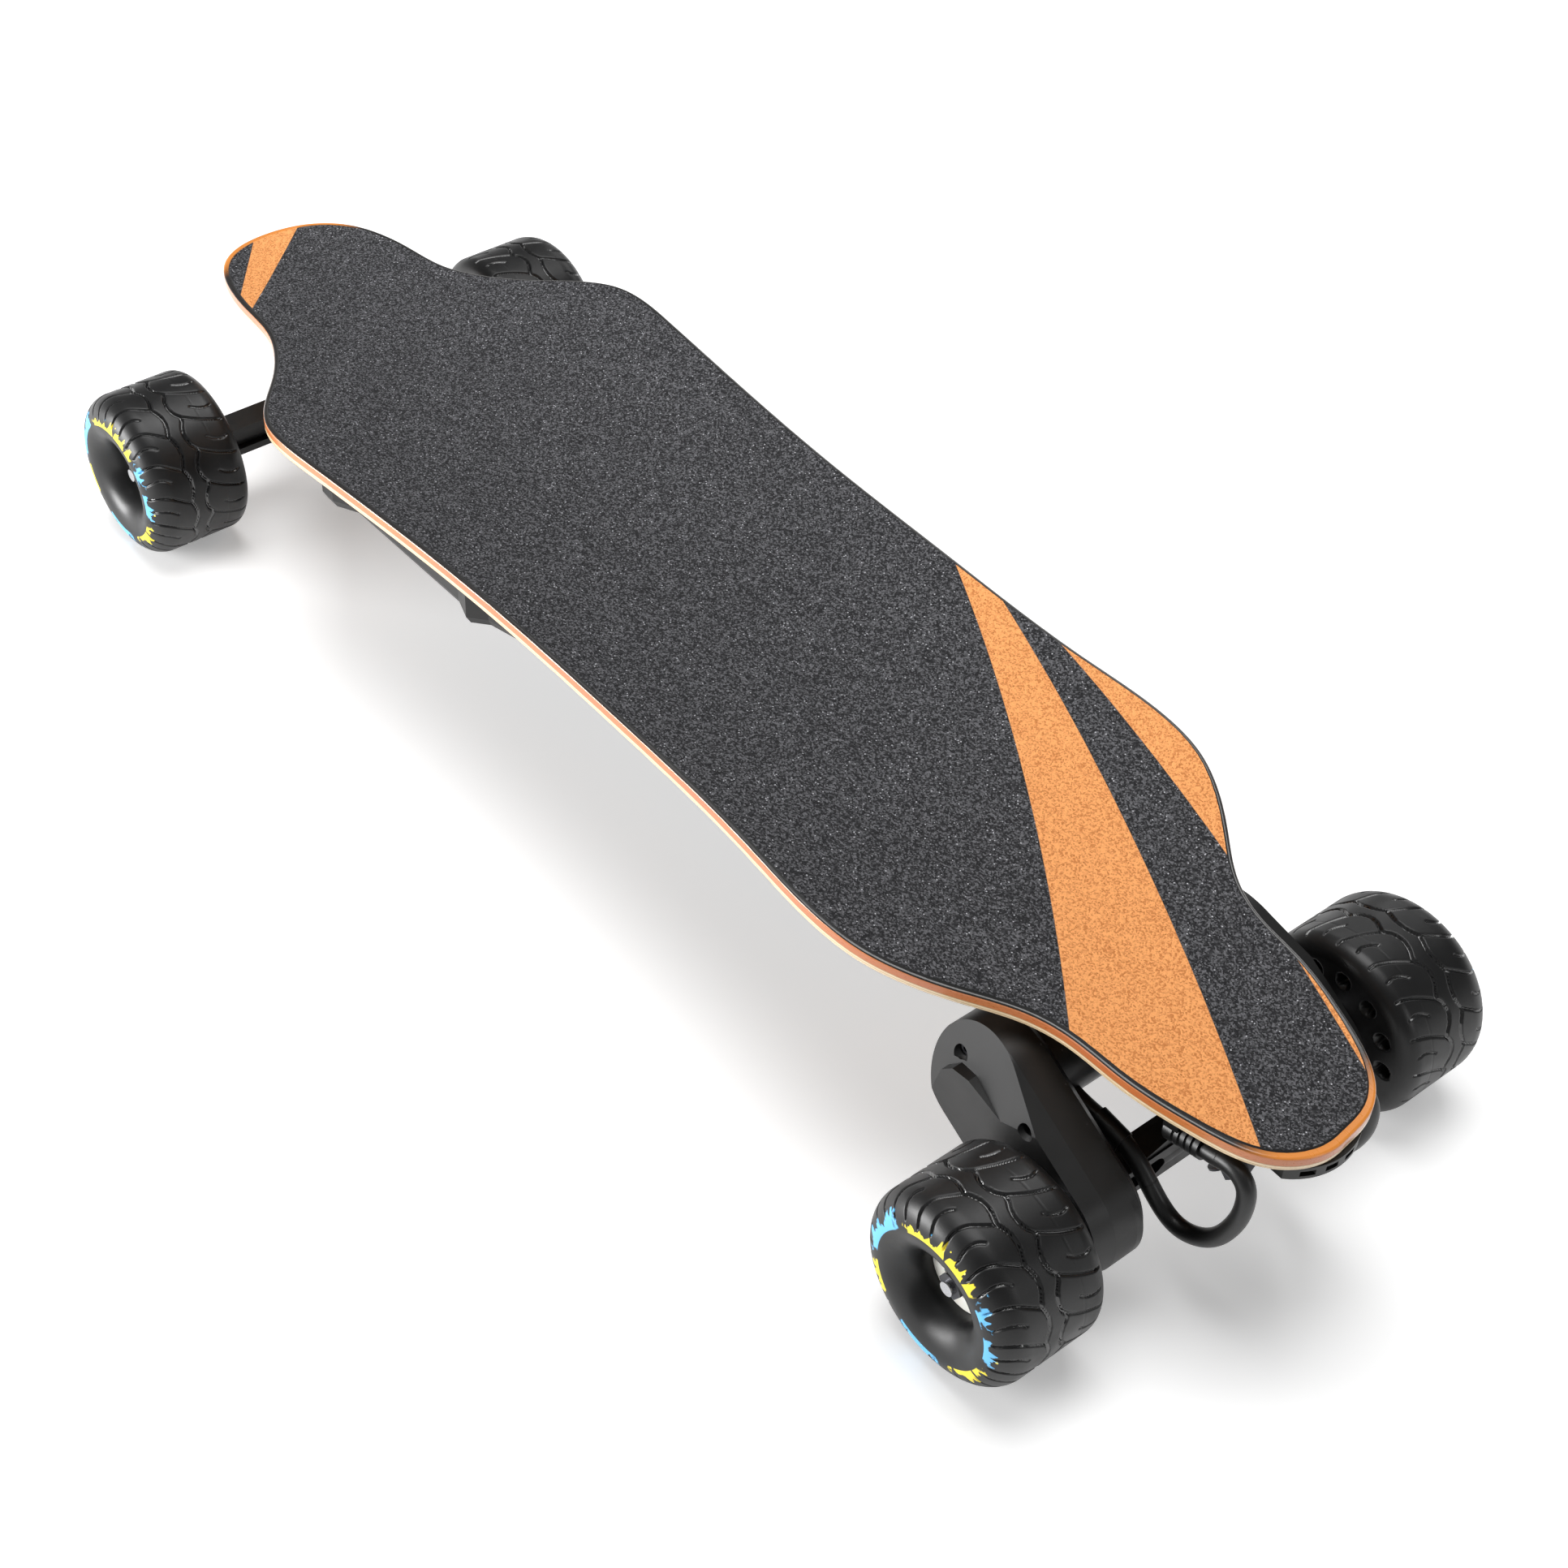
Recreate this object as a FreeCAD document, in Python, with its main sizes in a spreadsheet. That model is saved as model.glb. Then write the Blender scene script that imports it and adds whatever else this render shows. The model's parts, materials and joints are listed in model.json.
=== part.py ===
import FreeCAD, Part
import math
import os
import Sketcher
from FreeCAD import Placement, Rotation, Vector

# Electric skateboard with belt-driven rear wheels. Millimetres.
# Origin on the ground midway between the axles, +X to the nose, +Y left, +Z up.

doc = FreeCAD.newDocument("electric_skateboard")

# ---------------------------------------------------------------- driving dimensions

DIMENSIONS = [
    ("axle_half", 385.8),  # half the wheelbase
    ("tyre_rad", 52.5),
    ("wheel_inner", 104.4),  # centre plane to the wheel's inner face
    ("wheel_wide", 66.7),
    ("outer_shoulder", 16.0),
    ("inner_shoulder", 10.0),
    ("bowl_rad", 36.8),
    ("hub_rad", 19.0),
    ("hub_face", 47.6),  # inner wheel face to the hub's outer face
    ("hub_start", 1.6),
    ("hub_waist", 15.0),
    ("bearing_rad", 11.0),
    ("bearing_wide", 7.0),
    ("axle_rad", 4.0),
    ("axle_half_len", 161.0),
    ("running_gap", 0.05),
    ("deck_mid", 140.5),  # height of the deck's wooden top at its centre
    ("tail_drop", 12.6),  # how much lower that top is, camber_span behind the centre
    ("nose_drop", 18.3),  # and that far ahead of it
    ("nose_power", 2.4),
    ("camber_span", 438.0),
    ("kick", 5.0),  # rise of the nose above that curve, kick_long after kick_start
    ("kick_start", 340.0),
    ("kick_long", 130.0),
    ("deck_bow", 0.00092),  # rise of the concave per square millimetre off centre
    ("deck_thick", 9.5),
    ("deck_round", 2.5),  # rounding of the lower edge, and of the upper edge
    ("deck_ease", 1.4),
    ("grip_thick", 0.8),
    ("grip_inset", 3.0),
    ("end_inset", 2.5),  # the wood shows more round the nose and tail
    ("nose_tip", 480.0),
    ("tail_tip", -471.0),
    ("plate_top", 110.0),  # height of the baseplates' upper face, the same at both ends
    ("plate_long", 76.0),
    ("plate_thick", 7.0),
    ("plate_wide", 60.0),
    ("bolt_pitch_x", 53.8),
    ("bolt_pitch_y", 41.3),
    ("bolt_rad", 2.5),
    ("steer_angle", 48.0),  # steering axis above the horizontal
    ("ring_out", 15.5),  # axle to the centre of the hanger's ring, outward
    ("ring_height", 70.0),
    ("ring_rad", 17.0),
    ("ring_half", 6.0),
    ("ring_hole", 7.2),
    ("nose_rad", 5.0),
    ("nose_reach", 30.0),
    ("kingpin_rad", 4.75),
    ("kingpin_up", 44.0),
    ("kingpin_down", 31.0),
    ("bushing_rad", 12.5),
    ("bushing_long", 12.6),
    ("washer_thick", 1.2),
    ("nut_high", 8.0),
    ("beam_half_deep", 9.0),
    ("beam_half_high", 10.0),
    ("front_hanger_half", 104.0),
    ("rear_hanger_half", 73.6),
    ("motor_ahead", 60.0),  # rear axle to the motor axis, forward
    ("motor_above", 34.6),
    ("motor_rad", 26.0),
    ("motor_inner", 22.0),
    ("motor_wall", 2.5),
    ("shaft_rad", 4.0),
    ("mount_inner", 62.0),
    ("mount_outer", 70.0),
    ("cover_rad", 34.4),
    ("cover_face", 95.5),  # centre plane to the cover's flat outer panel
    ("cover_wall", 2.4),
    ("belt_pitch", 5.0),
    ("motor_teeth", 15),
    ("wheel_teeth", 36),
    ("belt_inner", 73.4),
    ("belt_wide", 12.0),
    ("belt_thick", 2.0),
    ("cable_rad", 4.8),
    ("box_floor", 91.5),
    ("box_wall", 3.0),
    ("box_flare", 3.0),  # how far the walls stand outside the floor
    ("flange_wide", 8.0),
    ("flange_thick", 3.0),
    ("gasket_thick", 1.5),
    ("port_rad", 8.0),
    ("port_bore", 5.5),
    ("button_rad", 7.0),
    ("screw_rad", 2.0),
    ("screw_head", 3.6),
]

sheet = doc.addObject("Spreadsheet::Sheet", "Dims")
for row, (alias, value) in enumerate(DIMENSIONS, start=1):
    sheet.set(f"A{row}", str(value))
    sheet.setAlias(f"A{row}", alias)
doc.recompute()


def dim(alias):
    return float(sheet.get(alias))


NODES = []
X, Y, Z = Vector(1, 0, 0), Vector(0, 1, 0), Vector(0, 0, 1)
FRONT, REAR = 1, -1
LEFT, RIGHT = 1, -1
SIDES = {"left": LEFT, "right": RIGHT}
ENDS = {"front": FRONT, "rear": REAR}


# ---------------------------------------------------------------- helpers


def node(obj, name):
    """Marks an object as one sub-part of the skateboard."""
    obj.Label = name
    NODES.append(obj)
    return obj


def feature(name, shape):
    """A sub-part whose shape is made with Part's own functions."""
    obj = doc.addObject("Part::Feature", name)
    obj.Shape = shape
    return obj


def bound(alias_or_formula):
    """Turns words of the sheet into an expression, leaving numbers and signs alone."""
    words = {alias for alias, _ in DIMENSIONS}
    out = []
    for token in alias_or_formula.split():
        out.append("Dims." + token if token in words else token)
    return " ".join(out)


def value_of(formula):
    """The value of such a formula, for the first drawing of a sketch."""
    words = dict(DIMENSIONS)
    total, sign = 0.0, 1
    for token in formula.split():
        if token in "+-":
            sign = 1 if token == "+" else -1
        else:
            total += sign * float(words.get(token, token))
    return total


def set_size(obj, side, size):
    """Ties one side of a primitive to a formula of the sheet, or sets it to a plain number."""
    if isinstance(size, str):
        obj.setExpression(side, bound(size))
    else:
        setattr(obj, side, size)


def facing(direction):
    return Rotation(Z, direction)


def closed_sketch(body, name, plane, corners):
    """A closed outline of straight sides, each corner tied to the sheet."""
    sketch = body.newObject("Sketcher::SketchObject", name)
    support = [f for f in body.Origin.OriginFeatures if f.Role == plane][0]
    sketch.AttachmentSupport = [(support, "")]
    sketch.MapMode = "FlatFace"
    spots = [Vector(value_of(across), value_of(up), 0) for across, up in corners]
    count = len(spots)
    for i in range(count):
        sketch.addGeometry(Part.LineSegment(spots[i], spots[(i + 1) % count]), False)
    for i in range(count):
        sketch.addConstraint(Sketcher.Constraint("Coincident", i, 2, (i + 1) % count, 1))
    for i, (across, up) in enumerate(corners):
        for kind, formula, axis in (("DistanceX", across, -2), ("DistanceY", up, -1)):
            if formula == "0":
                sketch.addConstraint(Sketcher.Constraint("PointOnObject", i, 1, axis))
            else:
                rule = Sketcher.Constraint(kind, -1, 1, i, 1, value_of(formula))
                index = sketch.addConstraint(rule)
                sketch.setExpression(f"Constraints[{index}]", bound(formula))
    return sketch


def turned(name, profile, base=Vector(), axis=Z):
    """A body of revolution from (radius, distance along the axis) corners."""
    body = doc.addObject("PartDesign::Body", name)
    sketch = closed_sketch(body, name + "_profile", "XZ_Plane", profile)
    turn = body.newObject("PartDesign::Revolution", name + "_turn")
    turn.Profile = sketch
    turn.ReferenceAxis = (sketch, ["V_Axis"])
    turn.Angle = 360
    body.Tip = turn
    body.Placement = Placement(base, facing(axis))
    doc.recompute()
    return body


def rod(name, radius, length, base, axis):
    """A round bar."""
    obj = doc.addObject("Part::Cylinder", name)
    set_size(obj, "Radius", radius)
    set_size(obj, "Height", length)
    obj.Placement = Placement(base, facing(axis))
    return obj


def ball(name, radius, centre):
    obj = doc.addObject("Part::Sphere", name)
    set_size(obj, "Radius", radius)
    obj.Placement = Placement(centre, Rotation())
    return obj


def block(name, sizes, corner):
    """A box with three sizes and its lowest corner."""
    obj = doc.addObject("Part::Box", name)
    for side, size in zip(("Length", "Width", "Height"), sizes):
        set_size(obj, side, size)
    obj.Placement = Placement(corner, Rotation())
    return obj


def joined(name, pieces):
    obj = doc.addObject("Part::MultiFuse", name)
    obj.Shapes = pieces
    obj.Refine = True
    return obj


def cut(name, base, tools):
    obj = doc.addObject("Part::Cut", name)
    obj.Base = base
    obj.Tool = tools[0] if len(tools) == 1 else joined(name + "_tools", tools)
    obj.Refine = True
    return obj


def hull(centre_a, rad_a, centre_b, rad_b, y):
    """Closed wire round two circles in the plane y, sides tangent to both."""
    ax, az = centre_a
    bx, bz = centre_b
    span = math.hypot(bx - ax, bz - az)
    lean = math.atan2(bz - az, bx - ax)
    open_angle = math.acos((rad_a - rad_b) / span)

    def spot(centre, radius, angle):
        cx, cz = centre
        return Vector(cx + radius * math.cos(angle), y, cz + radius * math.sin(angle))

    up, down = lean + open_angle, lean - open_angle
    a_up, a_down = spot(centre_a, rad_a, up), spot(centre_a, rad_a, down)
    b_up, b_down = spot(centre_b, rad_b, up), spot(centre_b, rad_b, down)
    edges = [
        Part.Arc(a_up, spot(centre_a, rad_a, lean + math.pi), a_down).toShape(),
        Part.makeLine(a_down, b_down),
        Part.Arc(b_down, spot(centre_b, rad_b, lean), b_up).toShape(),
        Part.makeLine(b_up, a_up),
    ]
    return Part.Wire(edges)


def slab_between(wire_a, wire_b):
    return Part.makeLoft([wire_a, wire_b], True, True)


def mirrored(shape, side):
    """The left-hand shape itself, or its mirror image for the right-hand side."""
    return shape if side == LEFT else shape.mirror(Vector(), Y)


def bar(radius, start, end):
    """Plain cylinder from start to end."""
    way = end - start
    return Part.makeCylinder(radius, way.Length, start, way)


# ---------------------------------------------------------------- deck surface


def deck_top(x, y):
    """Height of the wooden top: cambered along the board, concave across it."""
    run = abs(x) / dim("camber_span")
    if x > 0:
        kick = max(x - dim("kick_start"), 0) / dim("kick_long")
        drop = dim("nose_drop") * run ** dim("nose_power") - dim("kick") * kick ** 1.5
    else:
        drop = dim("tail_drop") * run * run
    return dim("deck_mid") - drop + dim("deck_bow") * y * y


def surface_face(offset):
    """The deck's curved top moved up by offset, as one smooth face beyond the outline."""
    stations = range(-500, 501, 50)
    rows = [-150, -100, -50, 0, 50, 100, 150]
    grid = [[Vector(x, y, deck_top(x, y) + offset) for y in rows] for x in stations]
    surface = Part.BSplineSurface()
    surface.interpolate(grid)
    return surface.toShape()


def layer(top_offset, thickness):
    """Curved sheet whose upper face lies top_offset above the deck's wooden top."""
    return surface_face(top_offset).extrude(Vector(0, 0, -thickness))


def deck_outline(inset=0.0):
    """Plan of the deck, or a line that much inside it: shoulders, necks, rounded ends."""
    left = [
        (dim("tail_tip"), 0),
        (-465.5, 26),
        (-453, 40),
        (-439, 47.5),
        (-420, 54),
        (-385, 62),
        (-352, 65.6),
        (-332, 72.9),
        (-306, 91.5),
        (-280, 108.4),
        (-262, 115.8),
        (-236, 119.8),
        (-175, 116.9),
        (-70, 114.6),
        (40, 115.8),
        (140, 121.8),
        (210, 128),
        (241, 129.6),
        (262, 126.6),
        (285, 115),
        (315, 92.1),
        (340, 76.4),
        (366, 65.8),
        (402, 61.1),
        (432, 55.5),
        (463, 40),
        (475, 24),
        (dim("nose_tip"), 0),
    ]
    right = [(x, -y) for x, y in reversed(left[1:-1])]
    curve = Part.BSplineCurve()
    curve.interpolate([Vector(x, y, 0) for x, y in left + right], PeriodicFlag=True)
    if inset:
        first, last = curve.FirstParameter, curve.LastParameter
        count = 160
        inner = []
        for i in range(count):
            at = first + (last - first) * i / count
            way = curve.tangent(at)[0]
            spot = curve.value(at)
            more = dim("end_inset") * (abs(spot.x) / dim("nose_tip")) ** 12
            inner.append(spot + Vector(way.y, -way.x, 0) * (inset + more))
        curve = Part.BSplineCurve()
        curve.interpolate(inner, PeriodicFlag=True)
    return Part.Wire(curve.toShape())


def prism(wire, low, high):
    placed = wire.copy()
    placed.translate(Vector(0, 0, low))
    return Part.Face(placed).extrude(Vector(0, 0, high - low))


DECK_LOW, DECK_HIGH = 80, 180


def make_deck():
    outline = deck_outline()
    plan = prism(outline, DECK_LOW, DECK_HIGH)
    wood = rounded_board(layer(0, dim("deck_thick")).common(plan).Solids[0])
    pockets = []
    for x, y in bolt_places():
        top = Vector(x, y, underside(x, y) + INSERT_LONG)
        pockets.append(bar(INSERT_RAD, Vector(x, y, DECK_LOW), top))
    for x, y in screw_places() + BUMPER_SCREWS:
        top = Vector(x, y, underside(x, y) + 6.2)
        pockets.append(bar(dim("screw_rad"), Vector(x, y, DECK_LOW), top))
    wood = wood.cut(Part.makeCompound(pockets))
    node(feature("deck_feature", wood.Solids[0]), "deck")

    grip_plan = prism(deck_outline(dim("grip_inset")), DECK_LOW, DECK_HIGH)
    grip = layer(dim("grip_thick"), dim("grip_thick")).common(grip_plan)
    node(feature("grip_feature", grip.Solids[0]), "grip_tape")


def rounded_board(board):
    """The board with its long lower edges rounded and its upper edges eased."""
    for radius, pick in ((dim("deck_round"), min), (dim("deck_ease"), max)):
        long_edges = [e for e in board.Edges if e.Length > 900]
        level = pick(e.CenterOfMass.z for e in long_edges)
        chosen = [e for e in long_edges if abs(e.CenterOfMass.z - level) < 1]
        board = board.makeFillet(radius, chosen)
    return board


def underside(x, y):
    return deck_top(x, y) - dim("deck_thick")


# ---------------------------------------------------------------- trucks


def lean_axes(end):
    """Directions of the steering axis and of the kingpin, in the board's frame."""
    angle = math.radians(dim("steer_angle"))
    steer = Vector(end * math.cos(angle), 0, math.sin(angle))
    kingpin = Vector(end * math.sin(angle), 0, -math.cos(angle))
    return steer, kingpin


def out(end, distance, z=0, y=0):
    """A point that far outward of the axle at that end."""
    return Vector(end * (dim("axle_half") + distance), y, z)


def ring_centre(end):
    return out(end, dim("ring_out"), dim("ring_height"))


PLATE_SHIFT = 8.0  # plate centre, outward of the axle
INSERT_RAD = 4.0
INSERT_LONG = 8.0


def bolt_places():
    places = []
    for end in ENDS.values():
        middle = out(end, PLATE_SHIFT).x
        for along in (-1, 1):
            for side in SIDES.values():
                x = middle + along * dim("bolt_pitch_x") / 2
                places.append((x, side * dim("bolt_pitch_y") / 2))
    return places


def plate_corner(end):
    middle = out(end, PLATE_SHIFT).x
    return Vector(middle - dim("plate_long") / 2, -dim("plate_wide") / 2, 0)


def make_pads():
    """Pads flat below and curved to the deck above; they level the trucks."""
    below = layer(-dim("deck_thick"), 60)
    pads = []
    for end in ENDS.values():
        corner = plate_corner(end)
        corner.z = dim("plate_top")
        pad = Part.makeBox(dim("plate_long"), dim("plate_wide"), 20, corner).common(below)
        holes = [
            bar(dim("bolt_rad") + 0.3, Vector(x, y, 80), Vector(x, y, 140))
            for x, y in bolt_places()
            if x * end > 0
        ]
        pads.append(pad.cut(Part.makeCompound(holes)).Solids[0])
    node(feature("pads_feature", Part.makeCompound(pads)), "shock_pads")


def make_baseplate(word, end):
    steer, kingpin = lean_axes(end)
    centre = ring_centre(end)
    corner = plate_corner(end)
    corner.z = dim("plate_top") - dim("plate_thick")
    name = word + "_baseplate"
    plate = block(name + "_plate", ("plate_long", "plate_wide", "plate_thick"), corner)
    seat_at = dim("ring_half") + dim("bushing_long") + dim("washer_thick") + 0.2
    seat_base = centre - kingpin * seat_at
    seat = rod(name + "_seat", "bushing_rad + 1.5", "kingpin_up - 12", seat_base, kingpin * -1)
    cup_at = 23.0
    socket = rod(name + "_socket", "nose_rad + 8", "nose_reach", centre + steer * cup_at, steer)
    rough = joined(name + "_rough", [plate, seat, socket])
    high = Vector(corner.x - 60, corner.y - 60, dim("plate_top"))
    above = block(name + "_above", ("plate_wide + 150", "plate_wide + 150", "plate_wide"), high)
    shank = rod(
        name + "_shank", "kingpin_rad", "kingpin_up + 20", centre - kingpin * 10, kingpin * -1
    )
    head = rod(
        name + "_head_pocket",
        "kingpin_rad + 4.4",
        "kingpin_up",
        centre - kingpin * dim("kingpin_up"),
        kingpin * -1,
    )
    cup = rod(name + "_cup_pocket", "nose_rad + 3", 18, centre + steer * (cup_at - 1), steer)
    cutters = [above, shank, head, cup]
    for i, (x, y) in enumerate(p for p in bolt_places() if p[0] * end > 0):
        spot = Vector(x, y, corner.z - 20)
        cutters.append(rod(f"{name}_bolt_{i}", "bolt_rad + 0.3", 60, spot, Z))
    node(cut(name + "_cut", rough, cutters), name)


def make_truck_bolts():
    bolts, inserts = [], []
    for x, y in bolt_places():
        low = dim("plate_top") - dim("plate_thick")
        tip = underside(x, y) + INSERT_LONG - 1
        shank = bar(dim("bolt_rad"), Vector(x, y, low - 1), Vector(x, y, tip))
        head = bar(dim("bolt_rad") * 1.8, Vector(x, y, low - 4.5), Vector(x, y, low))
        socket = bar(1.6, Vector(x, y, low - 5), Vector(x, y, low - 2.5))
        bolts.append(shank.fuse(head).cut(socket).removeSplitter().Solids[0])
        sleeve = bar(INSERT_RAD, Vector(x, y, underside(x, y) + 0.8), Vector(x, y, tip + 1))
        sleeve = sleeve.cut(bar(dim("bolt_rad"), Vector(x, y, 90), Vector(x, y, tip)))
        inserts.append(sleeve.Solids[0])
    node(feature("bolts_feature", Part.makeCompound(bolts)), "truck_bolts")
    node(feature("inserts_feature", Part.makeCompound(inserts)), "deck_inserts")


def make_kingpin_set():
    pins, nuts, washers, cups = [], [], [], []
    for word, end in ENDS.items():
        steer, kingpin = lean_axes(end)
        centre = ring_centre(end)
        head_at = centre - kingpin * dim("kingpin_up")
        pin = bar(dim("kingpin_rad"), head_at, centre + kingpin * dim("kingpin_down"))
        head = bar(dim("kingpin_rad") + 3, head_at - kingpin * 5.5, head_at)
        pins.append(pin.fuse(head).removeSplitter().Solids[0])
        far = dim("ring_half") + dim("bushing_long")
        hole = bar(dim("kingpin_rad"), head_at, centre + kingpin * 60)
        for start in (-far - dim("washer_thick"), far):
            disc = bar(
                dim("bushing_rad") + 0.8,
                centre + kingpin * start,
                centre + kingpin * (start + dim("washer_thick")),
            )
            washers.append(disc.cut(hole).Solids[0])
        nut_at = far + dim("washer_thick")
        nut = hexagon(centre + kingpin * nut_at, kingpin, 8.2, dim("nut_high"))
        nuts.append(nut.cut(hole).Solids[0])
        cups.append(pivot_cup(centre, steer))
        make_bushings(word, centre, kingpin, hole)
    node(feature("pins_feature", Part.makeCompound(pins)), "kingpins")
    node(feature("washers_feature", Part.makeCompound(washers)), "kingpin_washers")
    node(feature("nuts_feature", Part.makeCompound(nuts)), "kingpin_nuts")
    node(feature("cups_feature", Part.makeCompound(cups)), "pivot_cups")


def hexagon(base, axis, radius, height):
    """Hexagonal bar; radius is measured to its corners."""
    corners = [
        Vector(radius * math.cos(i * math.pi / 3), radius * math.sin(i * math.pi / 3), 0)
        for i in range(6)
    ]
    shape = Part.Face(Part.makePolygon(corners + [corners[0]])).extrude(Vector(0, 0, height))
    shape.Placement = Placement(base, facing(axis))
    return shape


def pivot_cup(centre, steer):
    """Thimble of urethane round the hanger's nose."""
    mouth, floor = 22.5, 40.0
    outer = bar(dim("nose_rad") + 3, centre + steer * mouth, centre + steer * floor)
    inner_rad = dim("nose_rad") + dim("running_gap")
    tip = centre + steer * dim("nose_reach")
    inner = bar(inner_rad, centre, tip).fuse(Part.makeSphere(inner_rad, tip))
    return outer.cut(inner).Solids[0]


def make_bushings(word, centre, kingpin, hole):
    """Board-side barrel and road-side cone, either side of the hanger's ring."""
    half, far = dim("ring_half"), dim("ring_half") + dim("bushing_long")
    barrel = bar(dim("bushing_rad"), centre - kingpin * far, centre - kingpin * half)
    cone = Part.makeCone(
        dim("bushing_rad"),
        dim("bushing_rad") - 2.5,
        dim("bushing_long"),
        centre + kingpin * half,
        kingpin,
    )
    solids = [barrel.cut(hole).Solids[0], cone.cut(hole).Solids[0]]
    node(feature(word + "_bushings_feature", Part.makeCompound(solids)), word + "_bushings")


def make_hanger(word, end):
    """Forged cross beam with recessed webs, kingpin ring and pivot nose."""
    steer, kingpin = lean_axes(end)
    centre = ring_centre(end)
    half_long = dim(word + "_hanger_half")
    deep, high = dim("beam_half_deep"), dim("beam_half_high")
    height = dim("tyre_rad")
    name = word + "_hanger"
    trim = 14 if end == REAR else 5
    flat_end = half_long - trim
    beam = doc.addObject("Part::Box", name + "_beam")
    beam.setExpression("Length", "2 * Dims.beam_half_deep")
    beam.setExpression("Height", "2 * Dims.beam_half_high")
    beam.setExpression("Width", f"2 * (Dims.{word}_hanger_half - {trim})")
    corner = out(end, 0) + Vector(-deep, -flat_end, height - high)
    beam.Placement = Placement(corner, Rotation())
    tube = doc.addObject("Part::Cylinder", name + "_tube")
    tube.setExpression("Radius", "Dims.beam_half_high - 0.5")
    tube.setExpression("Height", f"2 * Dims.{word}_hanger_half")
    tube.Placement = Placement(out(end, 0, height, -half_long), facing(Y))
    ring_base = centre - kingpin * dim("ring_half")
    ring = rod(name + "_ring", "ring_rad", "ring_half + ring_half", ring_base, kingpin)
    nose = rod(name + "_nose", "nose_rad", "nose_reach - 10", centre + steer * 10, steer)
    tip = ball(name + "_tip", "nose_rad", centre + steer * dim("nose_reach"))
    gussets = feature(name + "_gussets", hanger_gussets(end))
    rough = joined(name + "_rough", [beam, tube, ring, nose, tip, gussets])
    kingpin_hole = rod(
        name + "_kingpin_hole", "ring_hole", "ring_rad + 8", centre - kingpin * 12, kingpin
    )
    bore = rod(name + "_bore", "axle_rad", "axle_half_len", out(end, 0, height, -half_long - 5), Y)
    bore.setExpression("Height", "2 * Dims.axle_half_len")
    webs = feature(name + "_webs", hanger_webs(end, flat_end))
    node(cut(name + "_cut", rough, [kingpin_hole, bore, webs]), name)


def hanger_gussets(end):
    """Low shoulders that rise from the beam to the ring, left and right."""
    top = dim("tyre_rad") + dim("beam_half_high")
    solids = []
    for side in SIDES.values():
        corners = [
            out(end, -3, top - 4, side * 13),
            out(end, -3, top - 4, side * 46),
            out(end, -3, top, side * 46),
            out(end, -3, top + 8, side * 16),
            out(end, -3, top + 8, side * 13),
        ]
        face = Part.Face(Part.makePolygon(corners + [corners[0]]))
        solids.append(face.extrude(Vector(end * 11, 0, 0)))
    return Part.makeCompound(solids)


def hanger_webs(end, flat_end):
    """Long recesses with round ends on the beam's front and rear faces."""
    depth, web_rad = 4.5, 5.6
    deep = dim("beam_half_deep")
    inner_end, outer_end = 26 + web_rad, flat_end - 4 - web_rad
    recesses = []
    for face in (-1, 1):
        for side in SIDES.values():
            start = out(end, 0, dim("tyre_rad"), side * inner_end)
            stop = out(end, 0, dim("tyre_rad"), side * outer_end)
            shift = Vector(face * (deep - depth), 0, 0)
            reach = Vector(face * 10, 0, 0)
            low = Vector(0, 0, -web_rad)
            corners = [start + low, stop + low, stop - low, start - low]
            flat = Part.Face(Part.makePolygon(corners + [corners[0]])).extrude(reach)
            flat.translate(shift)
            ends = [Part.makeCylinder(web_rad, 10, spot + shift, reach) for spot in (start, stop)]
            recesses.append(flat.multiFuse(ends))
    return Part.makeCompound(recesses)


# ---------------------------------------------------------------- axles and wheels

STOP_WASHER = 1.0


def make_axle(word, end):
    base = out(end, 0, dim("tyre_rad"), -dim("axle_half_len"))
    bar_obj = rod(word + "_axle_bar", "axle_rad", "axle_half_len", base, Y)
    bar_obj.setExpression("Height", "2 * Dims.axle_half_len")
    node(bar_obj, word + "_axle")
    height = dim("tyre_rad")
    nuts, spacers = [], []
    hub_out = dim("wheel_inner") + dim("hub_face")
    inner_start = dim(word + "_hanger_half")
    stack = bearing_spans(end)
    gap = dim("running_gap")
    for side in SIDES.values():
        hole = bar(dim("axle_rad"), out(end, 0, height, -300), out(end, 0, height, 300))
        nut_at = hub_out - 1 + STOP_WASHER
        nut = hexagon(out(end, 0, height, side * nut_at), Y * side, 7.5, 6.5)
        nuts.append(nut.cut(hole).Solids[0])
        spans = [
            (inner_start, stack[0][0] - gap, 6.0),
            (stack[0][1] + gap, stack[1][0] - gap, 5.6),
            (stack[1][1] + gap, nut_at, 6.5),
        ]
        for low, high, radius in spans:
            sleeve = bar(radius, out(end, 0, height, side * low), out(end, 0, height, side * high))
            spacers.append(sleeve.cut(hole).Solids[0])
    node(feature(word + "_nuts_feature", Part.makeCompound(nuts)), word + "_axle_nuts")
    node(feature(word + "_spacers_feature", Part.makeCompound(spacers)), word + "_axle_spacers")


def bearing_spans(end):
    """Where the inner and outer bearing sit, as distances from the centre plane."""
    wide = dim("bearing_wide")
    outer = dim("wheel_inner") + dim("hub_face") - 1.4
    inner = dim("wheel_inner") + 2.6 if end == FRONT else dim("rear_hanger_half") + 1.4
    return [(inner, inner + wide), (outer - wide, outer)]


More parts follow.
